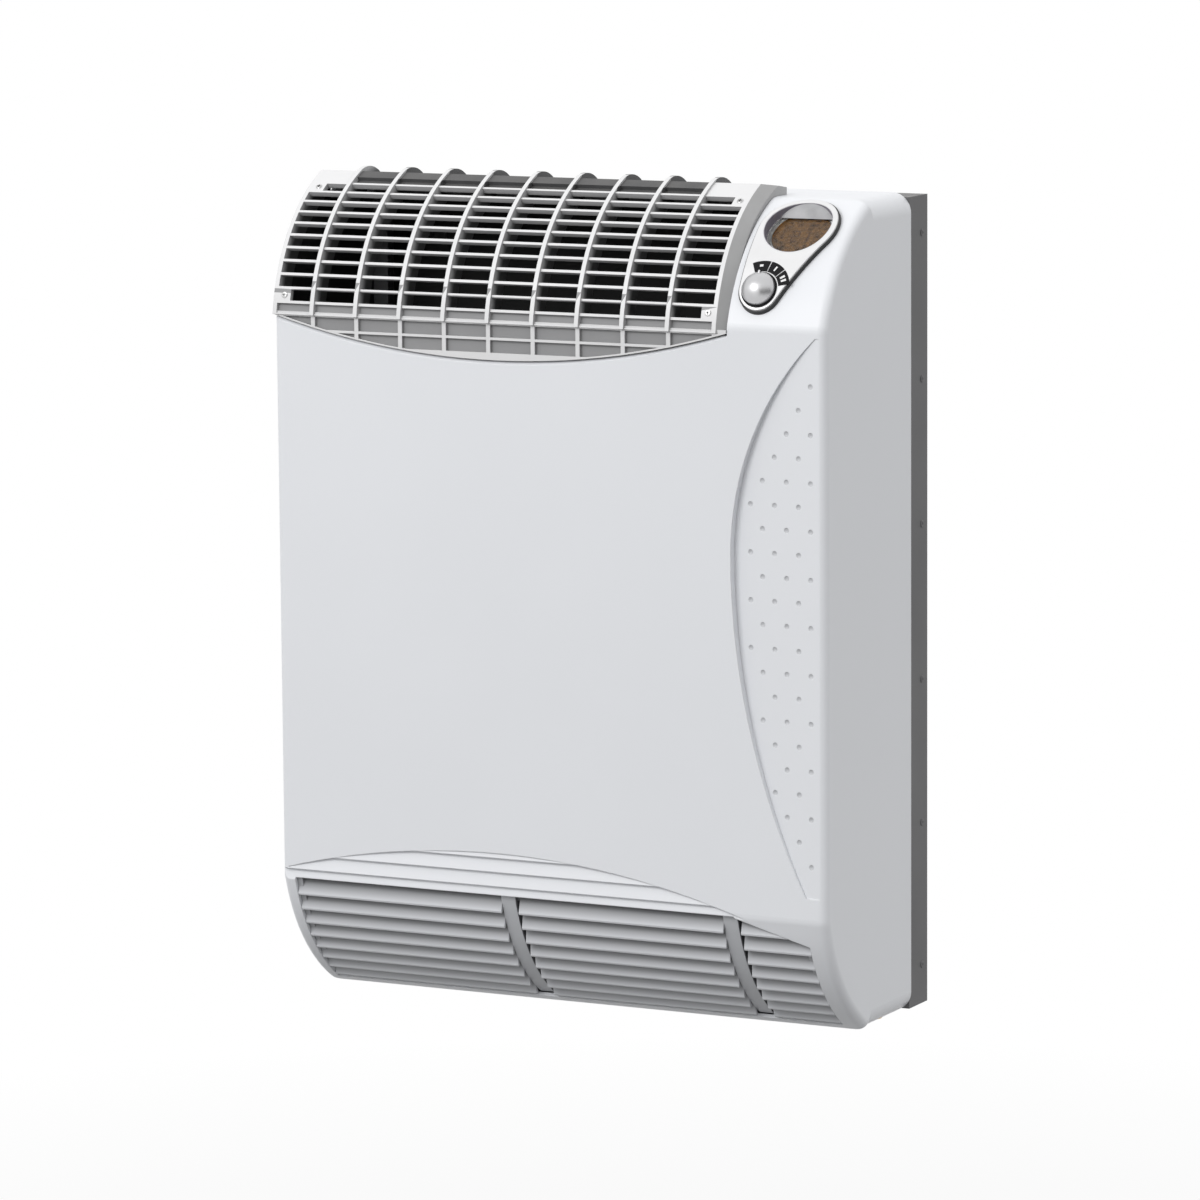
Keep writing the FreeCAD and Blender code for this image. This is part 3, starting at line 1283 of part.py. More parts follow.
HERE = ("0", "0", "0")
rod("impeller_plate", "impeller_radius", "impeller_disc", HERE, "z", ADD_ROD, impeller)
rod("impeller_boss", "impeller_hub", "impeller_width / 2", HERE, "z", ADD_ROD, impeller)
blade = box(
    "impeller_blade", ("impeller_radius - blade_inner", "blade_sheet", "impeller_width"),
    ("blade_inner", "-blade_sheet / 2", "0"), ADD_BOX, impeller,
)
blade_row = pattern(impeller, "Polar", blade, "Z", Occurrences="impeller_blades")
blade_row.Angle = 360
rod(
    "impeller_bore", "blower_shaft_radius + shaft_gap", "impeller_width + overrun", ("0", "0", "-overrun"), "z",
    CUT_ROD, impeller,
)
keep("blower_impeller", impeller)

# Mixing duct from the blower to the burner door, and the air and flue pipes through the rear frame
MIXING_SIZES = {
    "duct_flange": 52, "duct_flange_thick": 3,
}
sizes(MIXING_SIZES)
duct_pipe = rod(
    "mixing_pipe", "burner_radius", f"scroll_outlet_x - ({DOOR_END})", (DOOR_END, "burner_y", up("burner_rise")), "x",
)
duct_foot = box(
    "mixing_foot", ("duct_flange_thick", "duct_flange", "duct_flange"),
    (DOOR_END, "burner_y - duct_flange / 2", up("burner_rise - duct_flange / 2")),
)
duct_bore = rod(
    "mixing_bore", "burner_radius - burner_wall", f"scroll_outlet_x - ({DOOR_END}) + 2 * overrun",
    (f"{DOOR_END} - overrun", "burner_y", up("burner_rise")), "x",
)
electrode_notches = [
    rod(
        f"mixing_notch_{side}", "electrode_radius + electrode_slack", "duct_flange_thick + 2 * overrun",
        (f"{DOOR_END} - overrun", f"burner_y + {side} * electrode_spread", up("burner_rise + electrode_rise")), "x",
    )
    for side in (-1, 1)
]
screw_notches = [
    rod(
        f"mixing_screw_notch_{side}_{level}", "door_screw_head_radius + electrode_slack",
        "duct_flange_thick + 2 * overrun",
        (f"{DOOR_END} - overrun", f"burner_y + {side} * (door_width / 2 - door_screw_inset)",
         up(f"burner_rise + door_up + {level} * (door_height / 2 - door_screw_inset)")), "x",
    )
    for side in (-1, 1)
    for level in (-1, 1)
]
keep("mixing_duct", cut(
    "mixing_duct", fuse("mixing_blank", duct_pipe, duct_foot), duct_bore, *electrode_notches, *screw_notches,
))
keep("air_intake_pipe", tube(
    "air_intake_pipe", "air_pipe_radius", "air_pipe_radius - pipe_wall", f"-({SCROLL_BACK} + cover_thick)",
    ("air_x", f"{SCROLL_BACK} + cover_thick", up("air_rise")), "y",
))
keep("flue_pipe", tube(
    "flue_pipe", "flue_pipe_radius", "flue_pipe_radius - pipe_wall", f"-({CORE_BACK})",
    ("flue_x", CORE_BACK, up("flue_rise")), "y",
))

# Gas train: the inlet pipe from below, the valve on its bracket with two coils, and the feed pipe to the blower
GAS_SIZES = {
    "valve_x": 193, "valve_width": 60, "valve_front": -150, "valve_depth": 60, "valve_low": 100,
    "valve_height": 65, "coil_radius": 8.5, "coil_height": 24, "coil_first_x": 222, "coil_pitch": 19,
    "coil_y": -120, "shelf_sheet": 1.5, "shelf_foot": 30, "gas_drop": 40, "gas_bend": 20, "gas_stub": 14,
    "valve_port_y": -120,
}
sizes(GAS_SIZES)
keep("gas_valve", box(
    "gas_valve", ("valve_width", "valve_depth", "valve_height"), ("valve_x", "valve_front", up("valve_low")),
))
keep("valve_coils", fuse("valve_coils", *[
    rod(
        f"coil_{index}", "coil_radius", "coil_height",
        (f"coil_first_x + coil_pitch * {index}", "coil_y", up("valve_low + valve_height")), "z",
    )
    for index in range(2)
]))
shelf = fuse(
    "shelf_blank",
    box("shelf_top", ("valve_width", "-valve_front - frame_sheet", "shelf_sheet"),
        ("valve_x", "valve_front", up("valve_low - shelf_sheet"))),
    box("shelf_back", ("valve_width", "shelf_sheet", "shelf_foot"),
        ("valve_x", f"{BACK} - shelf_sheet", up("valve_low"))),
)
keep("valve_bracket", cut(
    "valve_bracket", shelf,
    rod("shelf_hole", "gas_pipe_radius + pipe_slack", "shelf_sheet + 2 * overrun",
        ("gas_x", "valve_port_y", up("valve_low - shelf_sheet - overrun")), "z"),
))


# The inlet pipe goes down from the valve, back to the frame and down again to a wider threaded stub
gas_pipe = doc.addObject("PartDesign::Body", "gas_inlet_pipe")
place(gas_pipe, ("gas_x", "valve_port_y", up("valve_low")))
GAS_BACK = "gas_y - valve_port_y"
gas_spine = draw(new_sketch("gas_spine", "YZ", gas_pipe), [
    ("0", "0"),
    ("0", "-gas_drop + gas_bend"),
    ("gas_bend", "-gas_drop", "gas_bend", 1),
    (f"{GAS_BACK} - gas_bend", "-gas_drop"),
    (GAS_BACK, "-gas_drop - gas_bend", "gas_bend", -1),
    (GAS_BACK, "-valve_low - gas_stub"),
], False)


def along_gas_spine(kind, radius):
    """Draw a circle along the inlet pipe's path, as metal or as its bore."""
    item = gas_pipe.newObject(f"PartDesign::{kind}Pipe", f"gas_{kind.lower()}")
    item.Profile = ring(new_sketch(f"gas_{kind.lower()}_ring", "XY", gas_pipe), "0", "0", radius)
    item.Spine = gas_spine


along_gas_spine("Additive", "gas_pipe_radius")
rod(
    "gas_stub_rod", "gas_stub_radius", "gas_stub_length", ("0", GAS_BACK, "-valve_low - gas_stub"), "z", ADD_ROD,
    gas_pipe,
)
along_gas_spine("Subtractive", "gas_pipe_bore")
keep("gas_inlet_pipe", gas_pipe)
keep("gas_feed_pipe", tube(
    "gas_feed_pipe", "feed_radius", "feed_bore", f"{SCROLL_LOW} - valve_low - valve_height",
    ("feed_x", "burner_y", up("valve_low + valve_height")), "z",
))

# Room fan: a tangential rotor between two end plates, with its scroll, tongue, bearing and motor
FAN_SIZES = {
    "fan_y": -115, "fan_rise": 105, "plate_left": -222, "plate_right": 112, "plate_front": 165,
    "plate_low": 45, "plate_high": 200, "fan_shaft_radius": 4, "fan_shaft_left": -233,
    "fan_shaft_length": 383, "bearing_radius": 14, "bearing_length": 14, "fan_motor_radius": 34,
    "fan_motor_length": 54, "rotor_radius": 45, "rotor_gap": 7, "rotor_disc": 2, "rotor_discs": 4,
    "rotor_blades": 30, "rotor_blade_depth": 9, "rotor_blade_sheet": 1.2, "rotor_blade_lean": 4,
    "fan_scroll_radius": 56, "fan_scroll_high": 200, "tongue_y": -160, "tongue_low": 150,
    "tongue_lip": 10, "fan_scroll_end": 20, "plate_hole_radius": 10,
}
sizes(FAN_SIZES)
AXIS = ("fan_y", up("fan_rise"))
for label, x, side in (("left_fan_plate", "plate_left", -1), ("right_fan_plate", "plate_right", 1)):
    keep(label, cut(
        label, standing_plate(f"{label}_blank", x, "plate_front", "plate_low", "plate_high", side),
        rod(f"{label}_hole", "plate_hole_radius", "inner_sheet + 2 * overrun", (f"{x} - overrun", *AXIS), "x"),
    ))
keep("fan_bearing", cut(
    "fan_bearing",
    rod("bearing_drum", "bearing_radius", "bearing_length", ("plate_left - bearing_length", *AXIS), "x"),
    rod("bearing_bore", "fan_shaft_radius + shaft_gap", "bearing_length + overrun",
        ("fan_shaft_left - shaft_floor", *AXIS), "x"),
))
keep("fan_motor", cut(
    "fan_motor",
    rod("fan_motor_drum", "fan_motor_radius", "fan_motor_length", ("plate_right + inner_sheet", *AXIS), "x"),
    rod("fan_motor_bore", "fan_shaft_radius + shaft_gap", "fan_shaft_length + shaft_floor",
        ("fan_shaft_left", *AXIS), "x"),
))
keep("fan_shaft", rod("fan_shaft", "fan_shaft_radius", "fan_shaft_length", ("fan_shaft_left", *AXIS), "x"))
rotor = doc.addObject("PartDesign::Body", "fan_rotor")
rotor.Placement = FreeCAD.Placement(V(), TURNS["x"])
place(rotor, ("plate_left + inner_sheet + rotor_gap", *AXIS))
ROTOR_LENGTH = "plate_right - plate_left - inner_sheet - 2 * rotor_gap"
disc = rod("rotor_plate", "rotor_radius", "rotor_disc", HERE, "z", ADD_ROD, rotor)
disc_row = pattern(
    rotor, "Linear", disc, "Z", Length=f"{ROTOR_LENGTH} - rotor_disc", Occurrences="rotor_discs",
)
vane = draw(new_sketch("rotor_vane", "XY", rotor), [
    ("rotor_radius - rotor_blade_depth", "0"),
    ("rotor_radius - rotor_disc / 2", "rotor_blade_lean"),
    ("rotor_radius - rotor_disc / 2", "rotor_blade_lean + rotor_blade_sheet"),
    ("rotor_radius - rotor_blade_depth", "rotor_blade_sheet"),
])
vane_pad = pad(rotor, vane, ROTOR_LENGTH)
vane_row = pattern(rotor, "Polar", vane_pad, "Z", Occurrences="rotor_blades")
vane_row.Angle = 360
rod(
    "rotor_bore", "fan_shaft_radius + shaft_gap", f"{ROTOR_LENGTH} + 2 * overrun", ("0", "0", "-overrun"), "z",
    CUT_ROD, rotor,
)
keep("fan_rotor", rotor)
guide = doc.addObject("PartDesign::Body", "fan_scroll")
place(guide, ("plate_left + inner_sheet", *AXIS))
OUTER = "(fan_scroll_radius + inner_sheet)"
pad(guide, draw(new_sketch("fan_scroll_outline", "YZ", guide), [
    ("-fan_scroll_end", f"-sqrt({OUTER}^2 - fan_scroll_end^2)"),
    (OUTER, "0", OUTER, 1),
    (OUTER, "fan_scroll_high - fan_rise"),
    ("fan_scroll_radius", "fan_scroll_high - fan_rise"),
    ("fan_scroll_radius", "0"),
    ("-fan_scroll_end", "-sqrt(fan_scroll_radius^2 - fan_scroll_end^2)", "fan_scroll_radius", -1),
]), "plate_right - plate_left - inner_sheet")
keep("fan_scroll", guide)
TONGUE_SPAN = "plate_right - plate_left - inner_sheet"
keep("fan_tongue", fuse(
    "fan_tongue",
    box("tongue_sheet", (TONGUE_SPAN, "inner_sheet", "plate_high - tongue_low"),
        ("plate_left + inner_sheet", "tongue_y", up("tongue_low"))),
    box("tongue_lip_sheet", (TONGUE_SPAN, "tongue_lip", "inner_sheet"),
        ("plate_left + inner_sheet", "tongue_y", up("tongue_low"))),
))

# Control box on the partition, with the board inside and its lid
CONTROL_SIZES = {
    "control_front": -180, "control_depth": 120, "control_low": 350, "control_height": 130,
    "control_reach": 32, "control_wall": 2, "board_stand": 8, "board_thick": 1.6, "board_gap": 2,
    "lid_thick": 2, "transformer_side": 32, "transformer_height": 16, "relay_width": 16, "relay_pitch": 24,
    "relay_depth": 20, "relay_height": 14,
}
sizes(CONTROL_SIZES)
CONTROL_X = "partition_x + inner_sheet"
control_tray = cut(
    "control_tray",
    box("control_outside", ("control_reach", "control_depth", "control_height"),
        (CONTROL_X, "control_front", up("control_low"))),
    box("control_inside", ("control_reach", "control_depth - 2 * control_wall", "control_height - 2 * control_wall"),
        (f"{CONTROL_X} + control_wall", "control_front + control_wall", up("control_low + control_wall"))),
)
BOARD_X = f"{CONTROL_X} + board_stand"
posts = [
    box(
        f"board_post_{side}_{level}", ("board_stand - control_wall / 2", "relay_width / 2", "relay_width / 2"),
        (f"{CONTROL_X} + control_wall / 2",
         f"control_front + control_wall + {side} * (control_depth - 2 * control_wall - relay_width / 2)",
         up(f"control_low + control_wall + {level} * (control_height - 2 * control_wall - relay_width / 2)")),
    )
    for side in (0, 1)
    for level in (0, 1)
]
keep("control_box", fuse("control_box", control_tray, *posts))
board = box(
    "board_sheet",
    ("board_thick", "control_depth - 2 * control_wall - 2 * board_gap",
     "control_height - 2 * control_wall - 2 * board_gap"),
    (BOARD_X, "control_front + control_wall + board_gap", up("control_low + control_wall + board_gap")),
)
transformer = box(
    "board_transformer", ("transformer_height", "transformer_side", "transformer_side"),
    (f"{BOARD_X} + board_thick", "control_front + relay_depth", up("control_low + relay_depth")),
)
relays = [
    box(
        f"board_relay_{index}", ("relay_height", "relay_width", "relay_depth"),
        (f"{BOARD_X} + board_thick", f"control_front + relay_depth + relay_pitch * {index}",
         up("control_low + control_height - 2 * relay_depth")),
    )
    for index in range(4)
]
keep("control_board", fuse("control_board", board, transformer, *relays))
keep("control_lid", box(
    "control_lid", ("lid_thick", "control_depth", "control_height"),
    (f"{CONTROL_X} + control_reach", "control_front", up("control_low")),
))

# Safety pieces: the air pressure switch on the partition and the limit thermostat on the exchanger
SAFETY_SIZES = {
    "pressure_radius": 20, "pressure_thick": 23, "pressure_y": -172, "pressure_rise": 212,
    "pressure_nose_radius": 3, "pressure_nose": 12, "limit_radius": 11, "limit_height": 12,
    "limit_x": -50,
}
sizes(SAFETY_SIZES)
keep("pressure_switch", fuse(
    "pressure_switch",
    rod("pressure_drum", "pressure_radius", "pressure_thick", (CONTROL_X, "pressure_y", up("pressure_rise")), "x"),
    rod("pressure_nozzle", "pressure_nose_radius", "pressure_thick + pressure_nose",
        (CONTROL_X, "pressure_y", up("pressure_rise")), "x"),
))
keep("limit_thermostat", rod(
    "limit_thermostat", "limit_radius", "limit_height", ("limit_x", "burner_y", up("core_low + core_height")), "z",
))

# Mains entry: the gland in the frame's floor and the terminal block above it
MAINS_SIZES = {
    "gland_collar_radius": 11, "gland_collar": 5, "gland_top": 18, "terminal_width": 46,
    "terminal_depth": 22, "terminal_height": 24, "terminal_low": 52,
}
sizes(MAINS_SIZES)
gland_body = rod(
    "gland_body", "gland_radius", "gland_top + gland_collar",
    ("gland_x", "gland_y", up("frame_inset - gland_collar")), "z",
)
gland_collars = [
    rod(f"gland_collar_{name}", "gland_collar_radius", "gland_collar", ("gland_x", "gland_y", up(rise)), "z")
    for name, rise in (("low", "frame_inset - gland_collar"), ("high", "frame_inset + frame_sheet"))
]
gland_way = rod(
    "gland_way", "gland_bore", "gland_top + gland_collar + 2 * overrun",
    ("gland_x", "gland_y", up("frame_inset - gland_collar - overrun")), "z",
)
keep("cable_gland", cut("cable_gland", fuse("gland_blank", gland_body, *gland_collars), gland_way))
keep("terminal_block", box(
    "terminal_block", ("terminal_width", "terminal_depth", "terminal_height"),
    ("gland_x - terminal_width / 2", f"{BACK} - terminal_depth", up("terminal_low")),
))

# Check every object, then write one STEP file per sub-part
doc.recompute()
for item in doc.Objects:
    if "Invalid" in item.State or "Error" in item.State:
        raise RuntimeError(f"{item.Label} failed: {item.State}")
os.makedirs("parts", exist_ok=True)
for label, item in pieces.items():
    shape = item.Shape
    if shape.isNull() or not shape.isValid():
        raise RuntimeError(f"{label} has no valid shape")
    shape.exportStep(f"parts/{label}.step")
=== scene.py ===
# Looks of the wall-hung balanced-flue gas heater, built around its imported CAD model.
import math

import bmesh
import bpy
from mathutils import Matrix, Vector


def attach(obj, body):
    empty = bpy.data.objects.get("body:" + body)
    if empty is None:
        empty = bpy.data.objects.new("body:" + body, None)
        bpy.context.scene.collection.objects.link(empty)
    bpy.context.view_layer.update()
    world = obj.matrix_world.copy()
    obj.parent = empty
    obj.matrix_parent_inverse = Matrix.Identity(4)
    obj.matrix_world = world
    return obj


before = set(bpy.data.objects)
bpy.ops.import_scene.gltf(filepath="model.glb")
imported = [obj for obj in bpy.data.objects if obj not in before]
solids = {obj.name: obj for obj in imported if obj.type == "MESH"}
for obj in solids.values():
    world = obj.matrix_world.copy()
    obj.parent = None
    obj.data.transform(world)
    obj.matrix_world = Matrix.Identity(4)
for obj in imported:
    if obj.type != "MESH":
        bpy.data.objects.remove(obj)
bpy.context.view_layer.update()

# Rear frame: the tray of folded and spot-welded sheet steel that is screwed to the wall.
# It is coated with dark grey powder, which leaves a fine orange peel and wears thin along the bends.
# Its inside is painted matt black as painted shade, so that nothing shines through the grille.
MM = 0.001


def add(tree, kind, inputs=None, **settings):
    """Add a shader node. Each input is a value, or a socket that is linked to it."""
    item = tree.nodes.new(kind)
    for name, value in settings.items():
        setattr(item, name, value)
    for name, value in (inputs or {}).items():
        if isinstance(value, bpy.types.NodeSocket):
            tree.links.new(value, item.inputs[name])
        else:
            item.inputs[name].default_value = value
    return item


def effect(name, inputs, outputs):
    """An empty shader node group with named number inputs, and named outputs of a kind."""
    tree = bpy.data.node_groups.new(name, "ShaderNodeTree")
    for label, value in inputs.items():
        socket = tree.interface.new_socket(label, in_out="INPUT", socket_type="NodeSocketFloat")
        socket.default_value = value
    for label, kind in outputs.items():
        tree.interface.new_socket(label, in_out="OUTPUT", socket_type=f"NodeSocket{kind}")
    return tree, tree.nodes.new("NodeGroupInput").outputs, tree.nodes.new("NodeGroupOutput").inputs


def math_node(tree, operation, first, second=0.0, clamp=False):
    """The result of one operation on two numbers or sockets."""
    numbers = {0: first, 1: second}
    return add(tree, "ShaderNodeMath", numbers, operation=operation, use_clamp=clamp).outputs[0]


def noise(tree, size, detail):
    """Noise whose features are a size in millimetres across, fixed to the piece."""
    place = add(tree, "ShaderNodeTexCoord").outputs["Object"]
    scale = math_node(tree, "DIVIDE", 1 / MM, size)
    inputs = {"Vector": place, "Scale": scale, "Detail": detail}
    return add(tree, "ShaderNodeTexNoise", inputs).outputs["Fac"]


def spread(tree, value, low=0.0, high=1.0, first=0.0, last=1.0):
    """A value moved from one range to another, held at the ends."""
    inputs = {"Value": value, "From Min": low, "From Max": high, "To Min": first, "To Max": last}
    return add(tree, "ShaderNodeMapRange", inputs).outputs["Result"]


# Grain of a moulded, coated or cast skin: a fine height, and slow clouds for tone and gloss
grain_tree, given, out = effect(
    "skin_grain", {"Grain": 0.5, "Cloud": 60}, {"Height": "Float", "Clouds": "Float"},
)
grain_tree.links.new(noise(grain_tree, given["Grain"], detail=1.0), out["Height"])
clouds = noise(grain_tree, given["Cloud"], detail=3.0)
grain_tree.links.new(spread(grain_tree, clouds, low=0.3, high=0.7), out["Clouds"])

# Rubbed edges: bends and corners where handling has worn the skin, broken up along their length
EDGE_GAIN, RUB_PATCH = 6.0, 9.0
rub_tree, given, out = effect("rubbed_edges", {"Width": 1.0, "Amount": 1.0}, {"Mask": "Float"})
width = math_node(rub_tree, "MULTIPLY", given["Width"], MM)
rounded = add(rub_tree, "ShaderNodeBevel", {"Radius": width}, samples=6).outputs["Normal"]
flat = add(rub_tree, "ShaderNodeNewGeometry").outputs["Normal"]
facing = add(rub_tree, "ShaderNodeVectorMath", {0: rounded, 1: flat}, operation="DOT_PRODUCT")
turned_away = math_node(rub_tree, "SUBTRACT", 1.0, facing.outputs["Value"])
edge = math_node(rub_tree, "MULTIPLY", turned_away, EDGE_GAIN, clamp=True)
broken = spread(rub_tree, noise(rub_tree, RUB_PATCH, detail=4.0), low=0.4, high=0.62)
worn = math_node(rub_tree, "MULTIPLY", edge, broken)
rub_tree.links.new(math_node(rub_tree, "MULTIPLY", worn, given["Amount"], clamp=True), out["Mask"])

# Dust that settles on faces that look up
DUST_GREY = (0.42, 0.40, 0.37)
dust_tree, given, out = effect("settled_dust", {"Amount": 0.3, "Patch": 25}, {"Mask": "Float"})
flat = add(dust_tree, "ShaderNodeNewGeometry").outputs["Normal"]
upward = add(dust_tree, "ShaderNodeSeparateXYZ", {0: flat}).outputs["Z"]
level = spread(dust_tree, upward, low=0.55)
patchy = spread(dust_tree, noise(dust_tree, given["Patch"], detail=5.0), low=0.35, high=0.7, first=0.2)
settled = math_node(dust_tree, "MULTIPLY", level, patchy)
dust_tree.links.new(math_node(dust_tree, "MULTIPLY", settled, given["Amount"], clamp=True), out["Mask"])

# The sockets of a Mix node that hold its two colours and the mixed one
MIX_FIRST, MIX_SECOND, MIX_RESULT = 6, 7, 2


def blend(tree, share, first, second):
    """A colour between two colours, each a value or a socket."""
    item = add(tree, "ShaderNodeMix", {"Factor": share}, data_type="RGBA")
    for socket, colour in ((item.inputs[MIX_FIRST], first), (item.inputs[MIX_SECOND], second)):
        if isinstance(colour, bpy.types.NodeSocket):
            tree.links.new(colour, socket)
        else:
            socket.default_value = (*colour, 1.0)
    return item.outputs[MIX_RESULT]


def skin(
    name, colour, roughness, shade=0.94, gloss=0.05, grain=0.5, depth=0.02, cloud=60, bend=0.4,
    worn=None, wear=0.0, wear_width=1.0, dust=0.0, tone=None, **fixed
):
    """A finish: clouds of tone and gloss, grain, softened bends, rubbed edges and settled dust.

    Sizes are in millimetres. A tone takes the place of the clouds, and fixed values go to the shader.
    """
    material = bpy.data.materials.new(name)
    material.use_nodes = True
    tree = material.node_tree
    shader = tree.nodes["Principled BSDF"]
    for socket, value in fixed.items():
        shader.inputs[socket.replace("_", " ")].default_value = value
    texture = add(tree, "ShaderNodeGroup", {"Grain": grain, "Cloud": cloud}, node_tree=grain_tree).outputs
    mottle = tone(tree) if tone else texture["Clouds"]
    base = blend(tree, mottle, [share * shade for share in colour], colour)
    if wear:
        rub = add(tree, "ShaderNodeGroup", {"Width": wear_width, "Amount": wear}, node_tree=rub_tree)
        base = blend(tree, rub.outputs["Mask"], base, worn)
    if dust:
        film = add(tree, "ShaderNodeGroup", {"Amount": dust}, node_tree=dust_tree)
        base = blend(tree, film.outputs["Mask"], base, DUST_GREY)
    tree.links.new(base, shader.inputs["Base Color"])
    dull = spread(tree, texture["Clouds"], first=roughness - gloss, last=roughness + gloss)
    tree.links.new(dull, shader.inputs["Roughness"])
    soft = add(tree, "ShaderNodeBevel", {"Radius": bend * MM}, samples=4).outputs["Normal"]
    relief = {"Strength": 1.0, "Distance": depth * MM, "Height": texture["Height"], "Normal": soft}
    bump = add(tree, "ShaderNodeBump", relief)
    tree.links.new(bump.outputs["Normal"], shader.inputs["Normal"])
    return material


def dress(material, *names):
    """Give CAD nodes a finish."""
    for name in names:
        mesh = solids[name].data
        mesh.materials.clear()
        mesh.materials.append(material)


def layer(name, finish):
    """Give a CAD node one more finish, and return the number that its faces choose it by."""
    finishes = solids[name].data.materials
    finishes.append(finish)
    return len(finishes) - 1


POWDER_GREY, BARE_STEEL = (0.104, 0.104, 0.107), (0.42, 0.42, 0.43)
powder_coat = skin(
    "powder_coat", POWDER_GREY, 0.5, shade=0.88, grain=0.9, depth=0.05, cloud=90, bend=0.8,
    worn=BARE_STEEL, wear=0.25, wear_width=0.8, dust=0.2,
)
dress(powder_coat, "rear_frame")
# Matt black of painted shade, for inside faces that are seen through the grille
painted_shade_black = skin("painted_shade_black", (0.010, 0.010, 0.010), 0.8, shade=0.8, grain=0.8, depth=0.03)
tray_shade = layer("rear_frame", painted_shade_black)
FRAME_SHEET, FACE_NEAR = 1.5, 0.2
for face in solids["rear_frame"].data.polygons:
    if abs(face.center.y / MM + FRAME_SHEET) < FACE_NEAR and face.normal.y < 0:
        face.material_index = tray_shade

# Wall grommets: rubber plugs that close the frame's four wall holes.
# Each is moulded with a thin skin that the wall screw pierces, and is pressed in from the front.


def fit(name, shape, material, sharp=35):
    """A piece of the heater from a bmesh in its frame, smooth but for its sharp edges."""
    bmesh.ops.recalc_face_normals(shape, faces=shape.faces)
    mesh = bpy.data.meshes.new(name)
    shape.to_mesh(mesh)
    shape.free()
    mesh.shade_smooth()
    mesh.set_sharp_from_angle(angle=math.radians(sharp))
    mesh.materials.append(material)
    piece = bpy.data.objects.new(name, mesh)
    bpy.context.scene.collection.objects.link(piece)
    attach(piece, "heater")


def polar(radius, angle):
    """The two coordinates of a point on a circle."""
    return radius * math.cos(angle), radius * math.sin(angle)


def turned(shape, profile, place, steps):
    """Turn an outline of (radius, height) pairs in millimetres about the Z axis of a place."""
    rings = []
    for radius, height in profile:
        angles = [2 * math.pi * step / steps for step in range(steps if radius else 1)]
        spots = [Vector((*polar(radius, angle), height)) for angle in angles]
        rings.append([shape.verts.new(place @ spot * MM) for spot in spots])
    for lower, upper in zip(rings, rings[1:]):
        for here in range(steps):
            there = (here + 1) % steps
            corners = [lower[here % len(lower)], lower[there % len(lower)]]
            corners += [upper[there % len(upper)], upper[here % len(upper)]]
            shape.faces.new(dict.fromkeys(corners))


def standing(spot, way):
    """A place in millimetres whose Z axis points a way."""
    return Matrix.Translation(Vector(spot)) @ Vector(way).to_track_quat("Z", "Y").to_matrix().to_4x4()


WALL_SPAN, WALL_RISE, GROMMET_STEPS = 440.0, 620.0, 24
GROMMET = ((0, -1.2), (4.4, -1.2), (4.4, 0), (7.5, 0), (7.5, 1.0), (5.6, 1.8), (3.2, 1.4), (0, 1.2))
rubber = skin("rubber", (0.02, 0.02, 0.02), 0.6, shade=0.8, grain=0.5, depth=0.02, dust=0.3)
grommets = bmesh.new()
for side in (-1, 1):
    for level in (-1, 1):
        spot = (side * WALL_SPAN / 2, -FRAME_SHEET, level * WALL_RISE / 2)
        turned(grommets, GROMMET, standing(spot, (0, -1, 0)), GROMMET_STEPS)
fit("wall_grommets", grommets, rubber)

# Frame rivets: blind rivets down both sides of the tray, which hold its folded corners together.
# They are coated with the frame.
FRAME_SIDE, RIVET_Y, RIVET_STEPS = 270.0, -12.0, 18
RIVET_ROW = (-330, -200, -70, 70, 200, 330)
RIVET = ((3.4, -0.2), (3.4, 0.2), (2.9, 0.7), (1.4, 0.9), (1.2, 0.4), (0, 0.4))
rivets = bmesh.new()
for side in (-1, 1):
    for height in RIVET_ROW:
        place = standing((side * FRAME_SIDE, RIVET_Y, height), (side, 0, 0))
        turned(rivets, RIVET, place, RIVET_STEPS)
fit("frame_rivets", rivets, powder_coat)

# Ducting: the partition, the warm-air duct, the fan's end plates, guide and tongue, and the brackets.
# All are folded from hot-dip galvanised sheet, so they show a frosty spangle.
CRYSTAL = 7.0


def spangle(tree):
    """The tone of a zinc skin, which differs from crystal to crystal."""
    place = add(tree, "ShaderNodeTexCoord").outputs["Object"]
    crystals = add(tree, "ShaderNodeTexVoronoi", {"Vector": place, "Scale": 1 / (CRYSTAL * MM)})
    return add(tree, "ShaderNodeSeparateColor", {0: crystals.outputs["Color"]}).outputs[0]


zinc_sheet = skin(
    "zinc_sheet", (0.58, 0.60, 0.62), 0.42, shade=0.72, gloss=0.08, grain=1.5, depth=0.01, cloud=30,
    dust=0.25, tone=spangle, Metallic=1.0,
)
dress(
    zinc_sheet, "partition_plate", "air_duct", "left_bracket", "right_bracket", "left_fan_plate",
    "right_fan_plate", "fan_scroll", "fan_tongue", "valve_bracket",
)

# Heat exchanger: one sand-cast light-alloy chamber with upright fins in front and behind.
# The casting keeps the grain of its mould and has gone dull and brownish from the heat.
cast_alloy = skin(
    "cast_alloy", (0.46, 0.45, 0.44), 0.58, shade=0.62, gloss=0.08, grain=0.8, depth=0.12, cloud=45,
    bend=0.8, worn=(0.66, 0.66, 0.66), wear=0.5, dust=0.3, Metallic=1.0,
)
dress(cast_alloy, "heat_exchanger")

# Burner: a stainless tube on a steel door with a fibre gasket, four screws and two ceramic electrodes.
# Heat has tinted the tube and the mixing duct straw brown in patches.
TINT_PATCH = 42.0


def heat_tint(tree):
    """Patches of temper colour."""
    return noise(tree, TINT_PATCH, detail=2.0)


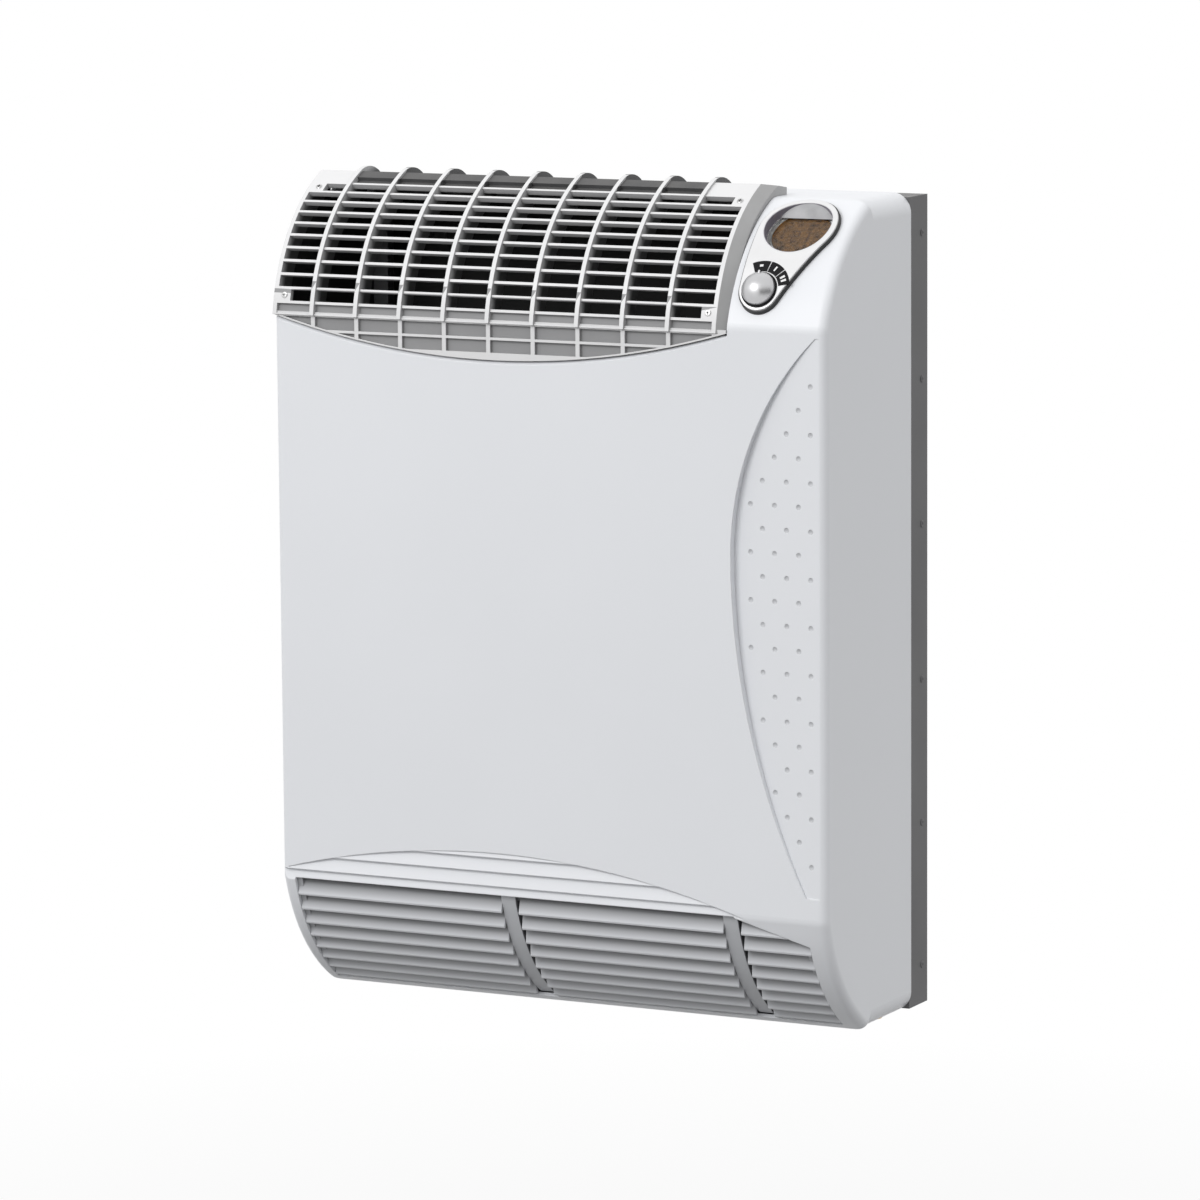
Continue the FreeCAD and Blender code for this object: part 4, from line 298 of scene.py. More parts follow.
stainless = skin(
    "stainless", (0.62, 0.56, 0.48), 0.3, shade=0.7, gloss=0.06, grain=0.4, depth=0.004, tone=heat_tint,
    Metallic=1.0,
)
dress(stainless, "burner_tube", "mixing_duct")
zinc_steel = skin("zinc_steel", (0.60, 0.60, 0.60), 0.34, shade=0.85, grain=0.6, depth=0.01, Metallic=1.0)
dress(zinc_steel, "burner_door", "door_screws")
fibre = skin("fibre_gasket", (0.62, 0.60, 0.55), 0.95, shade=0.8, grain=1.2, depth=0.2, cloud=8)
dress(fibre, "burner_gasket")
porcelain = skin("porcelain", (0.80, 0.77, 0.70), 0.22, shade=0.96, grain=2.0, depth=0.003, Coat_Weight=0.5)
dress(porcelain, "ignition_electrode", "flame_electrode")

# Combustion blower: a die-cast scroll and cover, a moulded impeller on a steel shaft, and a motor.
# The castings are left bare, and the motor is lacquered black.
die_cast = skin(
    "die_cast", (0.60, 0.60, 0.61), 0.45, shade=0.85, grain=0.7, depth=0.03,
    worn=(0.75, 0.75, 0.75), wear=0.3, Metallic=1.0,
)
dress(die_cast, "blower_scroll", "blower_cover")
dress(zinc_steel, "blower_shaft")
motor_lacquer = skin("motor_lacquer", (0.035, 0.035, 0.037), 0.4, shade=0.8, grain=0.8, depth=0.03, dust=0.4)
dress(motor_lacquer, "blower_motor")
black_nylon = skin("black_nylon", (0.02, 0.02, 0.021), 0.45, shade=0.8, grain=0.3, depth=0.01, dust=0.25)
dress(black_nylon, "blower_impeller")

# Room fan: a long rotor of galvanised sheet on a steel shaft, which moves the room's air.
# Its motor and its bearing are lacquered black, and stand at the end plates.
dress(zinc_sheet, "fan_rotor")
dress(zinc_steel, "fan_shaft")
dress(motor_lacquer, "fan_motor", "fan_bearing")

# Air and flue pipes: two pipes of seamed aluminised steel that pass through the frame into the wall.
# One brings fresh air to the burner, and the other takes the burnt gas outside.
aluminised = skin(
    "aluminised_pipe", (0.66, 0.66, 0.65), 0.36, shade=0.84, gloss=0.06, grain=0.5, depth=0.01, cloud=25,
    Metallic=1.0,
)
dress(aluminised, "air_intake_pipe", "flue_pipe")

# Gas line: a die-cast valve with two lacquered coils between pipes of drawn brass.
# The stub under the heater is cut with a parallel pipe thread, 19 turns to the inch.
dress(die_cast, "gas_valve")
dress(motor_lacquer, "valve_coils")
drawn_brass = skin(
    "drawn_brass", (0.70, 0.52, 0.27), 0.32, shade=0.78, gloss=0.07, grain=0.5, depth=0.01, cloud=12,
    Metallic=1.0,
)
dress(drawn_brass, "gas_inlet_pipe", "gas_feed_pipe")


def bridge(shape, rings):
    """Join each closed ring of corners to the next one with a band of faces."""
    for ring, following in zip(rings, rings[1:]):
        for here in range(len(ring)):
            there = (here + 1) % len(ring)
            shape.faces.new((ring[here], ring[there], following[there], following[here]))


GAS_X, GAS_Y, STUB_RADIUS = 225.0, -20.0, 8.3
THREAD_FOOT, THREAD_TURNS, THREAD_STEPS = -380.4, 8, 28
THREAD_PITCH, THREAD_RISE = 1.337, 0.3
# The roots lie a little inside the stub, and the turns don't quite meet
THREAD_ROOT, THREAD_HALF = THREAD_RISE / 4, THREAD_PITCH / 2.2
THREAD_SECTION = ((-THREAD_ROOT, -THREAD_HALF), (THREAD_RISE, 0), (-THREAD_ROOT, THREAD_HALF))
thread = bmesh.new()
sections = []
for step in range(THREAD_TURNS * THREAD_STEPS + 1):
    angle = 2 * math.pi * step / THREAD_STEPS
    height = THREAD_FOOT + THREAD_PITCH * step / THREAD_STEPS
    section = []
    for lift, shift in THREAD_SECTION:
        across, behind = polar(STUB_RADIUS + lift, angle)
        spot = Vector((GAS_X + across, GAS_Y + behind, height + shift))
        section.append(thread.verts.new(spot * MM))
    sections.append(section)
bridge(thread, sections)
thread.faces.new(sections[0])
thread.faces.new(sections[-1][::-1])
fit("gas_thread", thread, drawn_brass, sharp=30)

# Mains gland: a moulded nylon gland through the underside of the frame, where the mains lead comes in.
# Its nut is a hexagon with a domed end round the lead's bore, screwed on from below.
dress(black_nylon, "cable_gland")
GLAND_X, GLAND_FOOT = 155.0, -370.5
NUT_SIDES, NUT_FLAT, NUT_HEIGHT, NUT_BORE, NUT_STEPS = 6, 11.0, 6.0, 4.3, 48
NUT_DOME = ((9.6, 6.0), (9.2, 8.0), (7.6, 9.2), (4.6, 9.6), (4.3, 9.4), (4.3, 6.0))
SIDE_TURN = 2 * math.pi / NUT_SIDES
nut_place = standing((GLAND_X, GAS_Y, GLAND_FOOT), (0, 0, -1))
nut = bmesh.new()
rings = []
for height, outer in ((0, True), (NUT_HEIGHT, True), (NUT_HEIGHT, False), (0, False)):
    ring = []
    for step in range(NUT_STEPS):
        angle = 2 * math.pi * step / NUT_STEPS
        off_flat = (angle + SIDE_TURN / 2) % SIDE_TURN - SIDE_TURN / 2
        radius = NUT_FLAT / math.cos(off_flat) if outer else NUT_BORE
        spot = Vector((*polar(radius, angle), height))
        ring.append(nut.verts.new(nut_place @ spot * MM))
    rings.append(ring)
bridge(nut, rings + rings[:1])
turned(nut, NUT_DOME + NUT_DOME[:1], nut_place, NUT_STEPS)
fit("gland_nut", nut, black_nylon)

# Controls inside: a pale moulded box with its lid, the green board, the pressure switch, the limit
# thermostat, and the terminal block above the mains gland.
pale_moulding = skin("pale_moulding", (0.55, 0.55, 0.52), 0.5, grain=0.4, depth=0.015, dust=0.2)
dress(pale_moulding, "control_box", "control_lid", "terminal_block", "pressure_switch")
green_board = skin("green_board", (0.03, 0.16, 0.07), 0.32, shade=0.7, grain=1.2, depth=0.01, cloud=4)
dress(green_board, "control_board")
dress(zinc_steel, "limit_thermostat")

# Front casing: one white injection-moulded cover whose upper and lower faces roll back from the front.
# Its skin is a fine satin spark texture. The turned facet on the right carries rows of small dimples,
# whose faces are painted darker as painted shade, and the inside is painted the same matt black shade as the
# tray.
CASING_WHITE = (0.735, 0.748, 0.775)
casing_satin = skin(
    "casing_satin", CASING_WHITE, 0.4, shade=0.985, gloss=0.03, grain=0.35, depth=0.006, cloud=140,
    bend=1.2, worn=(0.80, 0.80, 0.80), wear=0.2, wear_width=1.5, dust=0.03,
)
dimple_shade = skin(
    "dimple_shade", (0.56, 0.57, 0.59), 0.5, shade=0.9, gloss=0.03, grain=0.35, depth=0.006, cloud=6,
    bend=1.2,
)
dress(casing_satin, "front_casing")
casing_inner_shade = layer("front_casing", painted_shade_black)
casing_dimple_shade = layer("front_casing", dimple_shade)
CASING_MIDDLE = Vector((0.0, -0.11, 0.0))
# Corners that agree to this many decimals of a metre are one
SAME_SPOT = 5
casing_mesh = solids["front_casing"].data
corner_keys = [vertex.co.to_tuple(SAME_SPOT) for vertex in casing_mesh.vertices]
outward = [(face.center - CASING_MIDDLE).dot(face.normal) > 0 for face in casing_mesh.polygons]
outer_corners = set()
for face, looks_out in zip(casing_mesh.polygons, outward):
    if looks_out:
        outer_corners.update(corner_keys[corner] for corner in face.vertices)
# An inner face touches no outer one, but for the side walls at the open back
INNER_WALL, WALL_NEAR = 268.5, 0.3
DIMPLE_EDGE, FACET_LEFT, FACET_RIGHT, FACET_BACK, FACET_REACH = 3.1, 185.0, 262.0, -205.0, 220.0
for face, looks_out in zip(casing_mesh.polygons, outward):
    corners = [casing_mesh.vertices[corner].co for corner in face.vertices]
    longest = max((here - there).length for here, there in zip(corners, corners[1:] + corners[:1]))
    spot = face.center / MM
    on_facet = FACET_LEFT < spot.x < FACET_RIGHT and spot.y < FACET_BACK and abs(spot.z) < FACET_REACH
    on_wall = abs(abs(spot.x) - INNER_WALL) < WALL_NEAR
    touches = any(corner_keys[corner] in outer_corners for corner in face.vertices)
    if on_facet and longest / MM < DIMPLE_EDGE:
        face.material_index = casing_dimple_shade
    elif not looks_out and (on_wall or not touches):
        face.material_index = casing_inner_shade

# Intake louvre: a white moulded insert of clapboard slats on the lower roll, between two dividers.
# The slats are painted darker towards their roots as painted shade under the lips, and carry a little dust.
# The dividers lie a little under the roll, and are painted a darker grey as painted shade.
HALF_HEIGHT = 367.5
LOWER_Y, LOWER_Z, LOWER_RADIUS = -45.3, 159.5 - HALF_HEIGHT, 182.0

# Painted shade: a tone that is full near a roll's skin and falls to nothing at a depth below it
shade_depth_tree, given, out = effect(
    "shade_under_roll", {"Middle Y": 0, "Middle Z": 0, "Radius": 100, "Starts": 1, "Ends": 8},
    {"Tone": "Float"},
)
place = add(shade_depth_tree, "ShaderNodeTexCoord").outputs["Object"]
place = add(shade_depth_tree, "ShaderNodeSeparateXYZ", {0: place}).outputs
squares = []
for axis in "YZ":
    spot = math_node(shade_depth_tree, "DIVIDE", place[axis], MM)
    offset = math_node(shade_depth_tree, "SUBTRACT", spot, given[f"Middle {axis}"])
    squares.append(math_node(shade_depth_tree, "MULTIPLY", offset, offset))
reach = math_node(shade_depth_tree, "SQRT", math_node(shade_depth_tree, "ADD", *squares))
sunk = math_node(shade_depth_tree, "SUBTRACT", given["Radius"], reach)
fall = spread(shade_depth_tree, sunk, low=given["Starts"], high=given["Ends"], first=1.0, last=0.0)
shade_depth_tree.links.new(fall, out["Tone"])


def shade_depth_tone(middle_y, middle_z, radius, starts, ends):
    """Painted shade: a tone that falls between two depths below a roll, which has a middle and a radius."""
    def tone(tree):
        roll = {"Middle Y": middle_y, "Middle Z": middle_z, "Radius": radius, "Starts": starts, "Ends": ends}
        return add(tree, "ShaderNodeGroup", roll, node_tree=shade_depth_tree).outputs["Tone"]
    return tone


louvre_satin = skin(
    "louvre_satin", (0.585, 0.595, 0.62), 0.42, shade=0.22, gloss=0.03, grain=0.35, depth=0.006, cloud=90,
    bend=0.7, dust=0.1, tone=shade_depth_tone(LOWER_Y, LOWER_Z, LOWER_RADIUS, starts=0.4, ends=7.5),
)
divider_shade = skin(
    "divider_shade", (0.50, 0.51, 0.53), 0.45, gloss=0.03, grain=0.35, depth=0.006, cloud=40, bend=0.7,
)
dress(louvre_satin, "intake_louvre")
louvre_divider_shade = layer("intake_louvre", divider_shade)
DIVIDER_SUNK, DIVIDER_NEAR, STANDS_OUT = 4.5, 0.5, 0.97
for face in solids["intake_louvre"].data.polygons:
    outwards = Vector((0, face.center.y / MM - LOWER_Y, face.center.z / MM - LOWER_Z))
    near = abs(LOWER_RADIUS - DIVIDER_SUNK - outwards.length) < DIVIDER_NEAR
    if near and face.normal.dot(outwards.normalized()) > STANDS_OUT:
        face.material_index = louvre_divider_shade

# Outlet grille: a curved pale grey moulding of ribs and thin bars, with a hood above and an apron below.
# Its blind cells have a coarser mould texture and its cheeks the dull skin of the mould's slides; both are
# painted darker grey as painted shade.
# The flanks of the ribs and bars are painted darker with depth, and the hood near black, as painted shade
# inside the grille.
FRONT_Y = -221.0
GRILLE_Y, GRILLE_Z, GRILLE_RADIUS = -67.0, 601.5 - HALF_HEIGHT, 158.0
grille_white = skin(
    "grille_white", (0.69, 0.69, 0.695), 0.38, shade=0.97, gloss=0.04, grain=0.4, depth=0.01, cloud=50,
    bend=0.5, worn=(0.78, 0.78, 0.78), wear=0.3, wear_width=0.7, dust=0.03,
)
cell_shade = skin(
    "cell_shade", (0.285, 0.285, 0.29), 0.6, shade=0.92, gloss=0.04, grain=0.8, depth=0.04, cloud=40,
    dust=0.1,
)
flank_shade = skin(
    "flank_shade", (0.42, 0.42, 0.425), 0.55, shade=0.14, gloss=0.04, grain=0.6, depth=0.02, bend=0.5,
    tone=shade_depth_tone(GRILLE_Y, GRILLE_Z, GRILLE_RADIUS, starts=2.5, ends=10.0),
)
hood_shade = skin(
    "hood_shade", (0.075, 0.075, 0.077), 0.55, shade=0.85, grain=0.8, depth=0.04, cloud=30, dust=0.1,
)
cheek_shade = skin(
    "cheek_shade", (0.36, 0.36, 0.362), 0.5, shade=0.9, gloss=0.04, grain=0.6, depth=0.02, cloud=30,
    bend=0.5,
)
dress(grille_white, "outlet_grille")
grille_cell_shade = layer("outlet_grille", cell_shade)
grille_flank_shade = layer("outlet_grille", flank_shade)
grille_hood_shade = layer("outlet_grille", hood_shade)
grille_cheek_shade = layer("outlet_grille", cheek_shade)
BLIND_FLOOR, APRON_FLOOR, CELL_NEAR = 154.4, 2.2, 0.5
HOOD_TILT, HOOD_LEFT, HOOD_RIGHT = 59.3, -226.0, 126.0
FLANK_TURN, FRONT_TURN, CHEEK_TURN, CHEEK_LEFT, CHEEK_RIGHT = 0.7, -0.9, 0.3, -271.0, 166.0
for face in solids["outlet_grille"].data.polygons:
    spot = face.center / MM
    from_middle = Vector((0, spot.y - GRILLE_Y, spot.z - GRILLE_Z))
    radius = from_middle.length
    tilt = math.degrees(math.atan2(from_middle.z, -from_middle.y))
    outwards = from_middle.normalized()
    up_slope = Vector((0, outwards.z, -outwards.y))
    in_band = abs(radius - BLIND_FLOOR) < CELL_NEAR and face.normal.dot(outwards) > STANDS_OUT
    in_apron = abs(spot.y - FRONT_Y - APRON_FLOOR) < CELL_NEAR and face.normal.y < FRONT_TURN
    in_hood = HOOD_LEFT < spot.x < HOOD_RIGHT and tilt > HOOD_TILT
    if in_hood and radius < GRILLE_RADIUS + CELL_NEAR:
        face.material_index = grille_hood_shade
    elif in_band or in_apron:
        face.material_index = grille_cell_shade
    elif spot.x > CHEEK_RIGHT and face.normal.x > CHEEK_TURN or spot.x < CHEEK_LEFT:
        face.material_index = grille_cheek_shade
    elif max(abs(face.normal.x), abs(face.normal.dot(up_slope))) > FLANK_TURN:
        face.material_index = grille_flank_shade

# Grille screws: four zinc-plated pan heads in the pads at the grille's corners.
# They hold it to the casing, and each has a cross recess, drawn as a black tile of painted shade on the
# head.


def on_arc(middle, across, radius, tilt):
    """A place on a roll: Z stands out at a tilt above the way to the front, and Y runs up the slope."""
    turn = math.radians(90 - tilt)
    spot = Vector((across, middle[0] - radius * math.sin(turn), middle[1] + radius * math.cos(turn)))
    return Matrix.Translation(spot) @ Matrix.Rotation(turn, 4, "X")


def flat_on(place):
    """A function that puts a point, given across, along and up, on a place."""
    def lay(*spot):
        return place @ Vector(spot)
    return lay


def tile(shape, outline, low, high, lay):
    """A flat tile from an outline between two heights, laid on the object by a function of the three."""
    bottom = [shape.verts.new(lay(across, along, low) * MM) for across, along in outline]
    top = [shape.verts.new(lay(across, along, high) * MM) for across, along in outline]
    shape.faces.new(top)
    shape.faces.new(bottom[::-1])
    bridge(shape, [bottom, top])


def cross_outline(reach, half):
    """The plus sign of a cross recess."""
    corners = []
    for quarter in range(4):
        way = Matrix.Rotation(quarter * math.pi / 2, 2)
        corners += [way @ Vector(point) for point in ((half, half), (half, reach), (-half, reach))]
    return [(corner.x, corner.y) for corner in corners]


PAD_ACROSS, PAD_TILTS = (-260.6, 160.0), (14.6, 56.4)
SCREW_HEAD, SCREW_STEPS = ((3.0, -0.3), (3.0, 0.3), (2.4, 0.9), (0, 1.1)), 24
RECESS_REACH, RECESS_HALF, RECESS_FOOT, RECESS_LIFT = 1.6, 0.35, 0.2, 1.16
grille_screws, grille_recesses = bmesh.new(), bmesh.new()
recess = cross_outline(RECESS_REACH, RECESS_HALF)
for across in PAD_ACROSS:
    for tilt in PAD_TILTS:
        place = on_arc((GRILLE_Y, GRILLE_Z), across, GRILLE_RADIUS, tilt)
        turned(grille_screws, SCREW_HEAD, place, SCREW_STEPS)
        tile(grille_recesses, recess, RECESS_FOOT, RECESS_LIFT, flat_on(place))
fit("grille_screws", grille_screws, zinc_steel)
fit("grille_screw_recesses", grille_recesses, painted_shade_black)

# Control fascia: the silver-white painted teardrop, pressed on a black rubber seal on the upper roll.
# It has a round opening for the display above, and carries the selector below.
silver_paint = skin(
    "silver_paint", (0.74, 0.74, 0.745), 0.34, shade=0.95, grain=0.12, depth=0.004, cloud=20, bend=1.4,
    worn=(0.82, 0.82, 0.82), wear=0.3, wear_width=0.8, Metallic=0.25,
)
dress(silver_paint, "control_fascia")
# The seal's black is partly the rubber's colour and partly painted shade under the fascia's edge.
seal_rubber_and_shade = skin(
    "seal_rubber_and_shade", (0.02, 0.02, 0.021), 0.55, shade=0.8, grain=0.5, depth=0.02, bend=0.6, dust=0.1,
)
dress(seal_rubber_and_shade, "fascia_gasket")
ROLL_Y, ROLL_Z, FASCIA_RADIUS = -60.68, 579.80 - HALF_HEIGHT, 173.0

# Display well: a thin moulded ring of violet-grey plastic that lines the fascia's round opening.
# Its dark tone is partly the plastic's colour and partly painted shade on the well's wall.
# Its brim follows the curve of the fascia.
DISPLAY_X, DISPLAY_TILT = 222.0, 51.6
WELL_RADIUS, WELL_SHEET, WELL_FOOT, WELL_RIM, WELL_STEPS = 30.9, 0.5, 164.1, 0.4, 72
well_place = on_arc((ROLL_Y, ROLL_Z), DISPLAY_X, 0, DISPLAY_TILT)
in_well = flat_on(well_place)


def well_brim(along):
    """The height of the well's brim on the curved fascia."""
    return math.sqrt((FASCIA_RADIUS - WELL_RIM) ** 2 - along ** 2)


well_violet_and_shade = skin("well_violet_and_shade", (0.19, 0.175, 0.21), 0.45, shade=0.85, grain=0.4, depth=0.01)
well = bmesh.new()
rings = []
for inset, at_top in ((0, False), (0, True), (WELL_SHEET, True), (WELL_SHEET, False)):
    ring = []
    for step in range(WELL_STEPS):
        across, along = polar(WELL_RADIUS - inset, 2 * math.pi * step / WELL_STEPS)
        height = well_brim(along) if at_top else WELL_FOOT
        ring.append(well.verts.new(in_well(across, along, height) * MM))
    rings.append(ring)
bridge(well, rings + rings[:1])
fit("display_well", well, well_violet_and_shade)

# Display shelf: a sloping grey moulding that closes the well's upper part.
# It ends in a straight edge over the display, and is pressed against the well's wall.
SHELF_EDGE, SHELF_THICK, SHELF_STEPS = 17.0, 0.5, 24
SHELF_RADIUS, SHELF_SEAT = WELL_RADIUS - WELL_SHEET, WELL_RIM / 9
SHELF_TOP = WELL_FOOT + SHELF_THICK
shelf_grey = skin("shelf_grey", (0.42, 0.42, 0.43), 0.45, shade=0.7, grain=0.3, depth=0.006, cloud=18)
edge_angle = math.asin(SHELF_EDGE / SHELF_RADIUS)
shelf = bmesh.new()
rows = []
for step in range(SHELF_STEPS + 1):
    across, along = polar(SHELF_RADIUS, edge_angle + (math.pi - 2 * edge_angle) * step / SHELF_STEPS)
    up_share = (along - SHELF_EDGE) / (SHELF_RADIUS - SHELF_EDGE)
    brim = SHELF_TOP + (well_brim(along) - SHELF_TOP) * up_share
    seat = along + SHELF_SEAT
    outline = ((SHELF_EDGE, WELL_FOOT), (seat, WELL_FOOT), (seat, brim), (SHELF_EDGE, SHELF_TOP))
    rows.append([shelf.verts.new(in_well(across, *spot) * MM) for spot in outline])
bridge(shelf, rows)
for row in (rows[0], rows[-1]):
    shelf.faces.new(row)
fit("display_shelf", shelf, shelf_grey, sharp=50)

# Display: an amber liquid-crystal cell on the moulded module behind the fascia, under a clear acrylic lens.
# Its dark seven-segment figures give the room's temperature.
dress(pale_moulding, "display_module")
clear_lens = skin(
    "clear_lens", (0.96, 0.96, 0.95), 0.06, shade=0.99, gloss=0.02, grain=3.0, depth=0.002, bend=0.3,
    Transmission_Weight=1.0, IOR=1.22, Specular_IOR_Level=0.3,
)
dress(clear_lens, "display_lens")
lcd_amber = skin(
    "lcd_amber", (0.225, 0.108, 0.028), 0.3, shade=0.14, grain=0.6, depth=0.004, cloud=3.5,
    Specular_IOR_Level=0.2,
)
SIGHT_RADIUS, LCD_FOOT, LCD_FACE, LCD_STEPS = 26.8, 160.15, 161.4, 64
LCD_CELL = ((0, LCD_FOOT), (SIGHT_RADIUS, LCD_FOOT), (SIGHT_RADIUS, LCD_FACE), (0, LCD_FACE))
lcd = bmesh.new()
turned(lcd, LCD_CELL, well_place, LCD_STEPS)
fit("display_face", lcd, lcd_amber)

SEGMENTS = {"2": "abged", "1": "bc"}
SEGMENT_SPOTS = {"a": (0, 2), "b": (1, 1), "c": (1, -1), "d": (0, -2), "e": (-1, -1), "g": (0, 0)}
DIGIT_SHIFT, DIGIT_HALF, DIGIT_QUARTER, SEGMENT_HALF, SEGMENT_LIFT = 4.6, 3.0, 3.2, 0.6, 0.06
lcd_dark = skin(
    "lcd_dark", (0.05, 0.022, 0.008), 0.35, shade=0.8, grain=0.5, depth=0.002, Specular_IOR_Level=0.2,
)
figures = bmesh.new()
for middle, digit in ((-DIGIT_SHIFT, "2"), (DIGIT_SHIFT, "1")):
    for name in SEGMENTS[digit]:
        column, row = SEGMENT_SPOTS[name]
        across, along = middle + column * DIGIT_HALF, (row - 1) * DIGIT_QUARTER
        wide, tall = SEGMENT_HALF, DIGIT_QUARTER - SEGMENT_HALF
        if column == 0:
            wide, tall = DIGIT_HALF - SEGMENT_HALF, SEGMENT_HALF
        outline = [(across + x * wide, along + y * tall) for x, y in ((-1, -1), (1, -1), (1, 1), (-1, 1))]
        tile(figures, outline, LCD_FACE - SEGMENT_LIFT, LCD_FACE + SEGMENT_LIFT, in_well)
fit("display_figures", figures, lcd_dark)

# Selector: a domed satin knob on a steel shaft, which turns a rotary switch behind the fascia.
# Under it lies a black skirt, and three black tiles are printed round it on the fascia. Their white marks
# stand for off, low and high.
knob_satin = skin(
    "knob_satin", (0.60, 0.60, 0.61), 0.34, shade=0.92, gloss=0.04, grain=0.1, depth=0.003, cloud=10,
    bend=0.8, worn=(0.70, 0.70, 0.70), wear=0.4, Metallic=0.85,
)
dress(knob_satin, "selector_knob")
dress(zinc_steel, "selector_shaft")
dress(black_nylon, "selector_switch")
print_black = skin(
    "print_black", (0.012, 0.012, 0.013), 0.6, shade=0.85, grain=0.5, depth=0.003, Specular_IOR_Level=0.1,
)
print_white = skin("print_white", (0.75, 0.75, 0.75), 0.4, grain=0.5, depth=0.003)
KNOB_X, KNOB_TILT, SKIRT_STEPS = 205.5, 28.6, 48
SKIRT = ((5.2, -0.3), (16.6, -0.8), (16.6, 0.35), (15.6, 0.6), (5.2, 0.6), (5.2, -0.3))
skirt = bmesh.new()
turned(skirt, SKIRT, on_arc((ROLL_Y, ROLL_Z), KNOB_X, FASCIA_RADIUS, KNOB_TILT), SKIRT_STEPS)
fit("knob_skirt", skirt, print_black)


def on_fascia(across, along, lift):
    """A point on the fascia's curve, from the selector's axis, across and up the slope."""
    tilt = math.radians(KNOB_TILT) + along / FASCIA_RADIUS
    forward, upward = polar(FASCIA_RADIUS + lift, tilt)
    return Vector((KNOB_X + across, ROLL_Y - forward, ROLL_Z + upward))


def fan_outline(inner, outer, first, last, steps=8):
    """A piece of a ring between two radii and two angles in degrees."""
    angles = [math.radians(first + (last - first) * step / steps) for step in range(steps + 1)]
    return [polar(outer, angle) for angle in angles] + [polar(inner, angle) for angle in reversed(angles)]


LEGEND_INNER, LEGEND_OUTER, LEGEND_LIFT, LEGEND_SINK = 17.6, 28.0, 0.25, 0.3
LEGEND_SPANS = ((80, 116), (46, 78), (13, 44))
legends = bmesh.new()
for span in LEGEND_SPANS:
    tile(legends, fan_outline(LEGEND_INNER, LEGEND_OUTER, *span), -LEGEND_SINK, LEGEND_LIFT, on_fascia)
fit("selector_legends", legends, print_black)

# Each mark has an inner and an outer radius, a first and a last angle, and a count
MARKS = ((22.2, 24.4, 94, 102, 1), (20.6, 25.4, 60, 64, 1), (20.6, 25.4, 26, 31, 2))
MARK_LIFT, MARK_STEP = 0.32, 9
marks = bmesh.new()
for inner, outer, first, last, count in MARKS:
    for index in range(count):
        turn = (index - (count - 1) / 2) * MARK_STEP
        tile(marks, fan_outline(inner, outer, first + turn, last + turn), 0, MARK_LIFT, on_fascia)
fit("selector_marks", marks, print_white)

# Casing screws: two zinc-plated pan heads with cross recesses, each drawn as a black tile of painted shade.
# They are driven up through the casing's underside, and hold the casing to the frame.
dress(zinc_steel, "casing_screws")
CASING_SCREW_X, CASING_SCREW_Y, CASING_SCREW_FACE = 165.0, -52.0, -369.7
CROSS_REACH, CROSS_HALF, CROSS_SINK, CROSS_LIFT = 2.2, 0.5, 0.3, 0.06
screw_recesses = bmesh.new()
for side in (-1, 1):
    place = standing((side * CASING_SCREW_X, CASING_SCREW_Y, CASING_SCREW_FACE), (0, 0, -1))
    tile(screw_recesses, cross_outline(CROSS_REACH, CROSS_HALF), -CROSS_SINK, CROSS_LIFT, flat_on(place))
fit("casing_screw_recesses", screw_recesses, painted_shade_black)

# Studio: a pale floor well below the heater, a white surround, and one large soft lamp above the front.
# A dark card low on the right shows only where shiny surfaces mirror it.
scene = bpy.context.scene
scene.view_settings.view_transform = "Standard"
WHITE = (1.0, 1.0, 1.0, 1.0)


def sheet(name, half, place, material):
    """A square sheet of the studio."""
    shape = bmesh.new()
    bmesh.ops.create_grid(shape, x_segments=1, y_segments=1, size=half, matrix=place)
    mesh = bpy.data.meshes.new(name)
    shape.to_mesh(mesh)
    shape.free()
    mesh.materials.append(material)
    item = bpy.data.objects.new(name, mesh)
    scene.collection.objects.link(item)
    return item


# The floor keeps a trace of the heater's shadow near it, and is plain white further out
FLOOR_DROP, FLOOR_HALF = -0.75, 60.0
PAPER_GREY, PAPER_ROUGHNESS = (0.18, 0.18, 0.18, 1.0), 0.9
SHADOW_NEAR, SHADOW_FAR, SHADOW_WHITE = 0.875, 1.675, 0.92
floor_white = bpy.data.materials.new("floor_white")
floor_white.use_nodes = True
tree = floor_white.node_tree
paper = tree.nodes["Principled BSDF"]
paper.inputs["Base Color"].default_value = PAPER_GREY
paper.inputs["Roughness"].default_value = PAPER_ROUGHNESS
glow = add(tree, "ShaderNodeEmission", {"Color": WHITE, "Strength": 1.0})
place = add(tree, "ShaderNodeTexCoord").outputs["Object"]
away = add(tree, "ShaderNodeVectorMath", {0: place}, operation="LENGTH").outputs["Value"]
white = spread(tree, away, low=SHADOW_NEAR, high=SHADOW_FAR, first=SHADOW_WHITE)
path = add(tree, "ShaderNodeLightPath").outputs
seen = math_node(tree, "MAXIMUM", path["Is Glossy Ray"], path["Is Transmission Ray"])
seen = math_node(tree, "MAXIMUM", path["Is Camera Ray"], seen)
white_share = math_node(tree, "MULTIPLY", seen, white)
surface = add(tree, "ShaderNodeMixShader", {0: white_share, 1: paper.outputs[0], 2: glow.outputs[0]})
tree.links.new(surface.outputs[0], tree.nodes["Material Output"].inputs["Surface"])
sheet("floor", FLOOR_HALF, Matrix.Translation((0, 0, FLOOR_DROP)), floor_white)

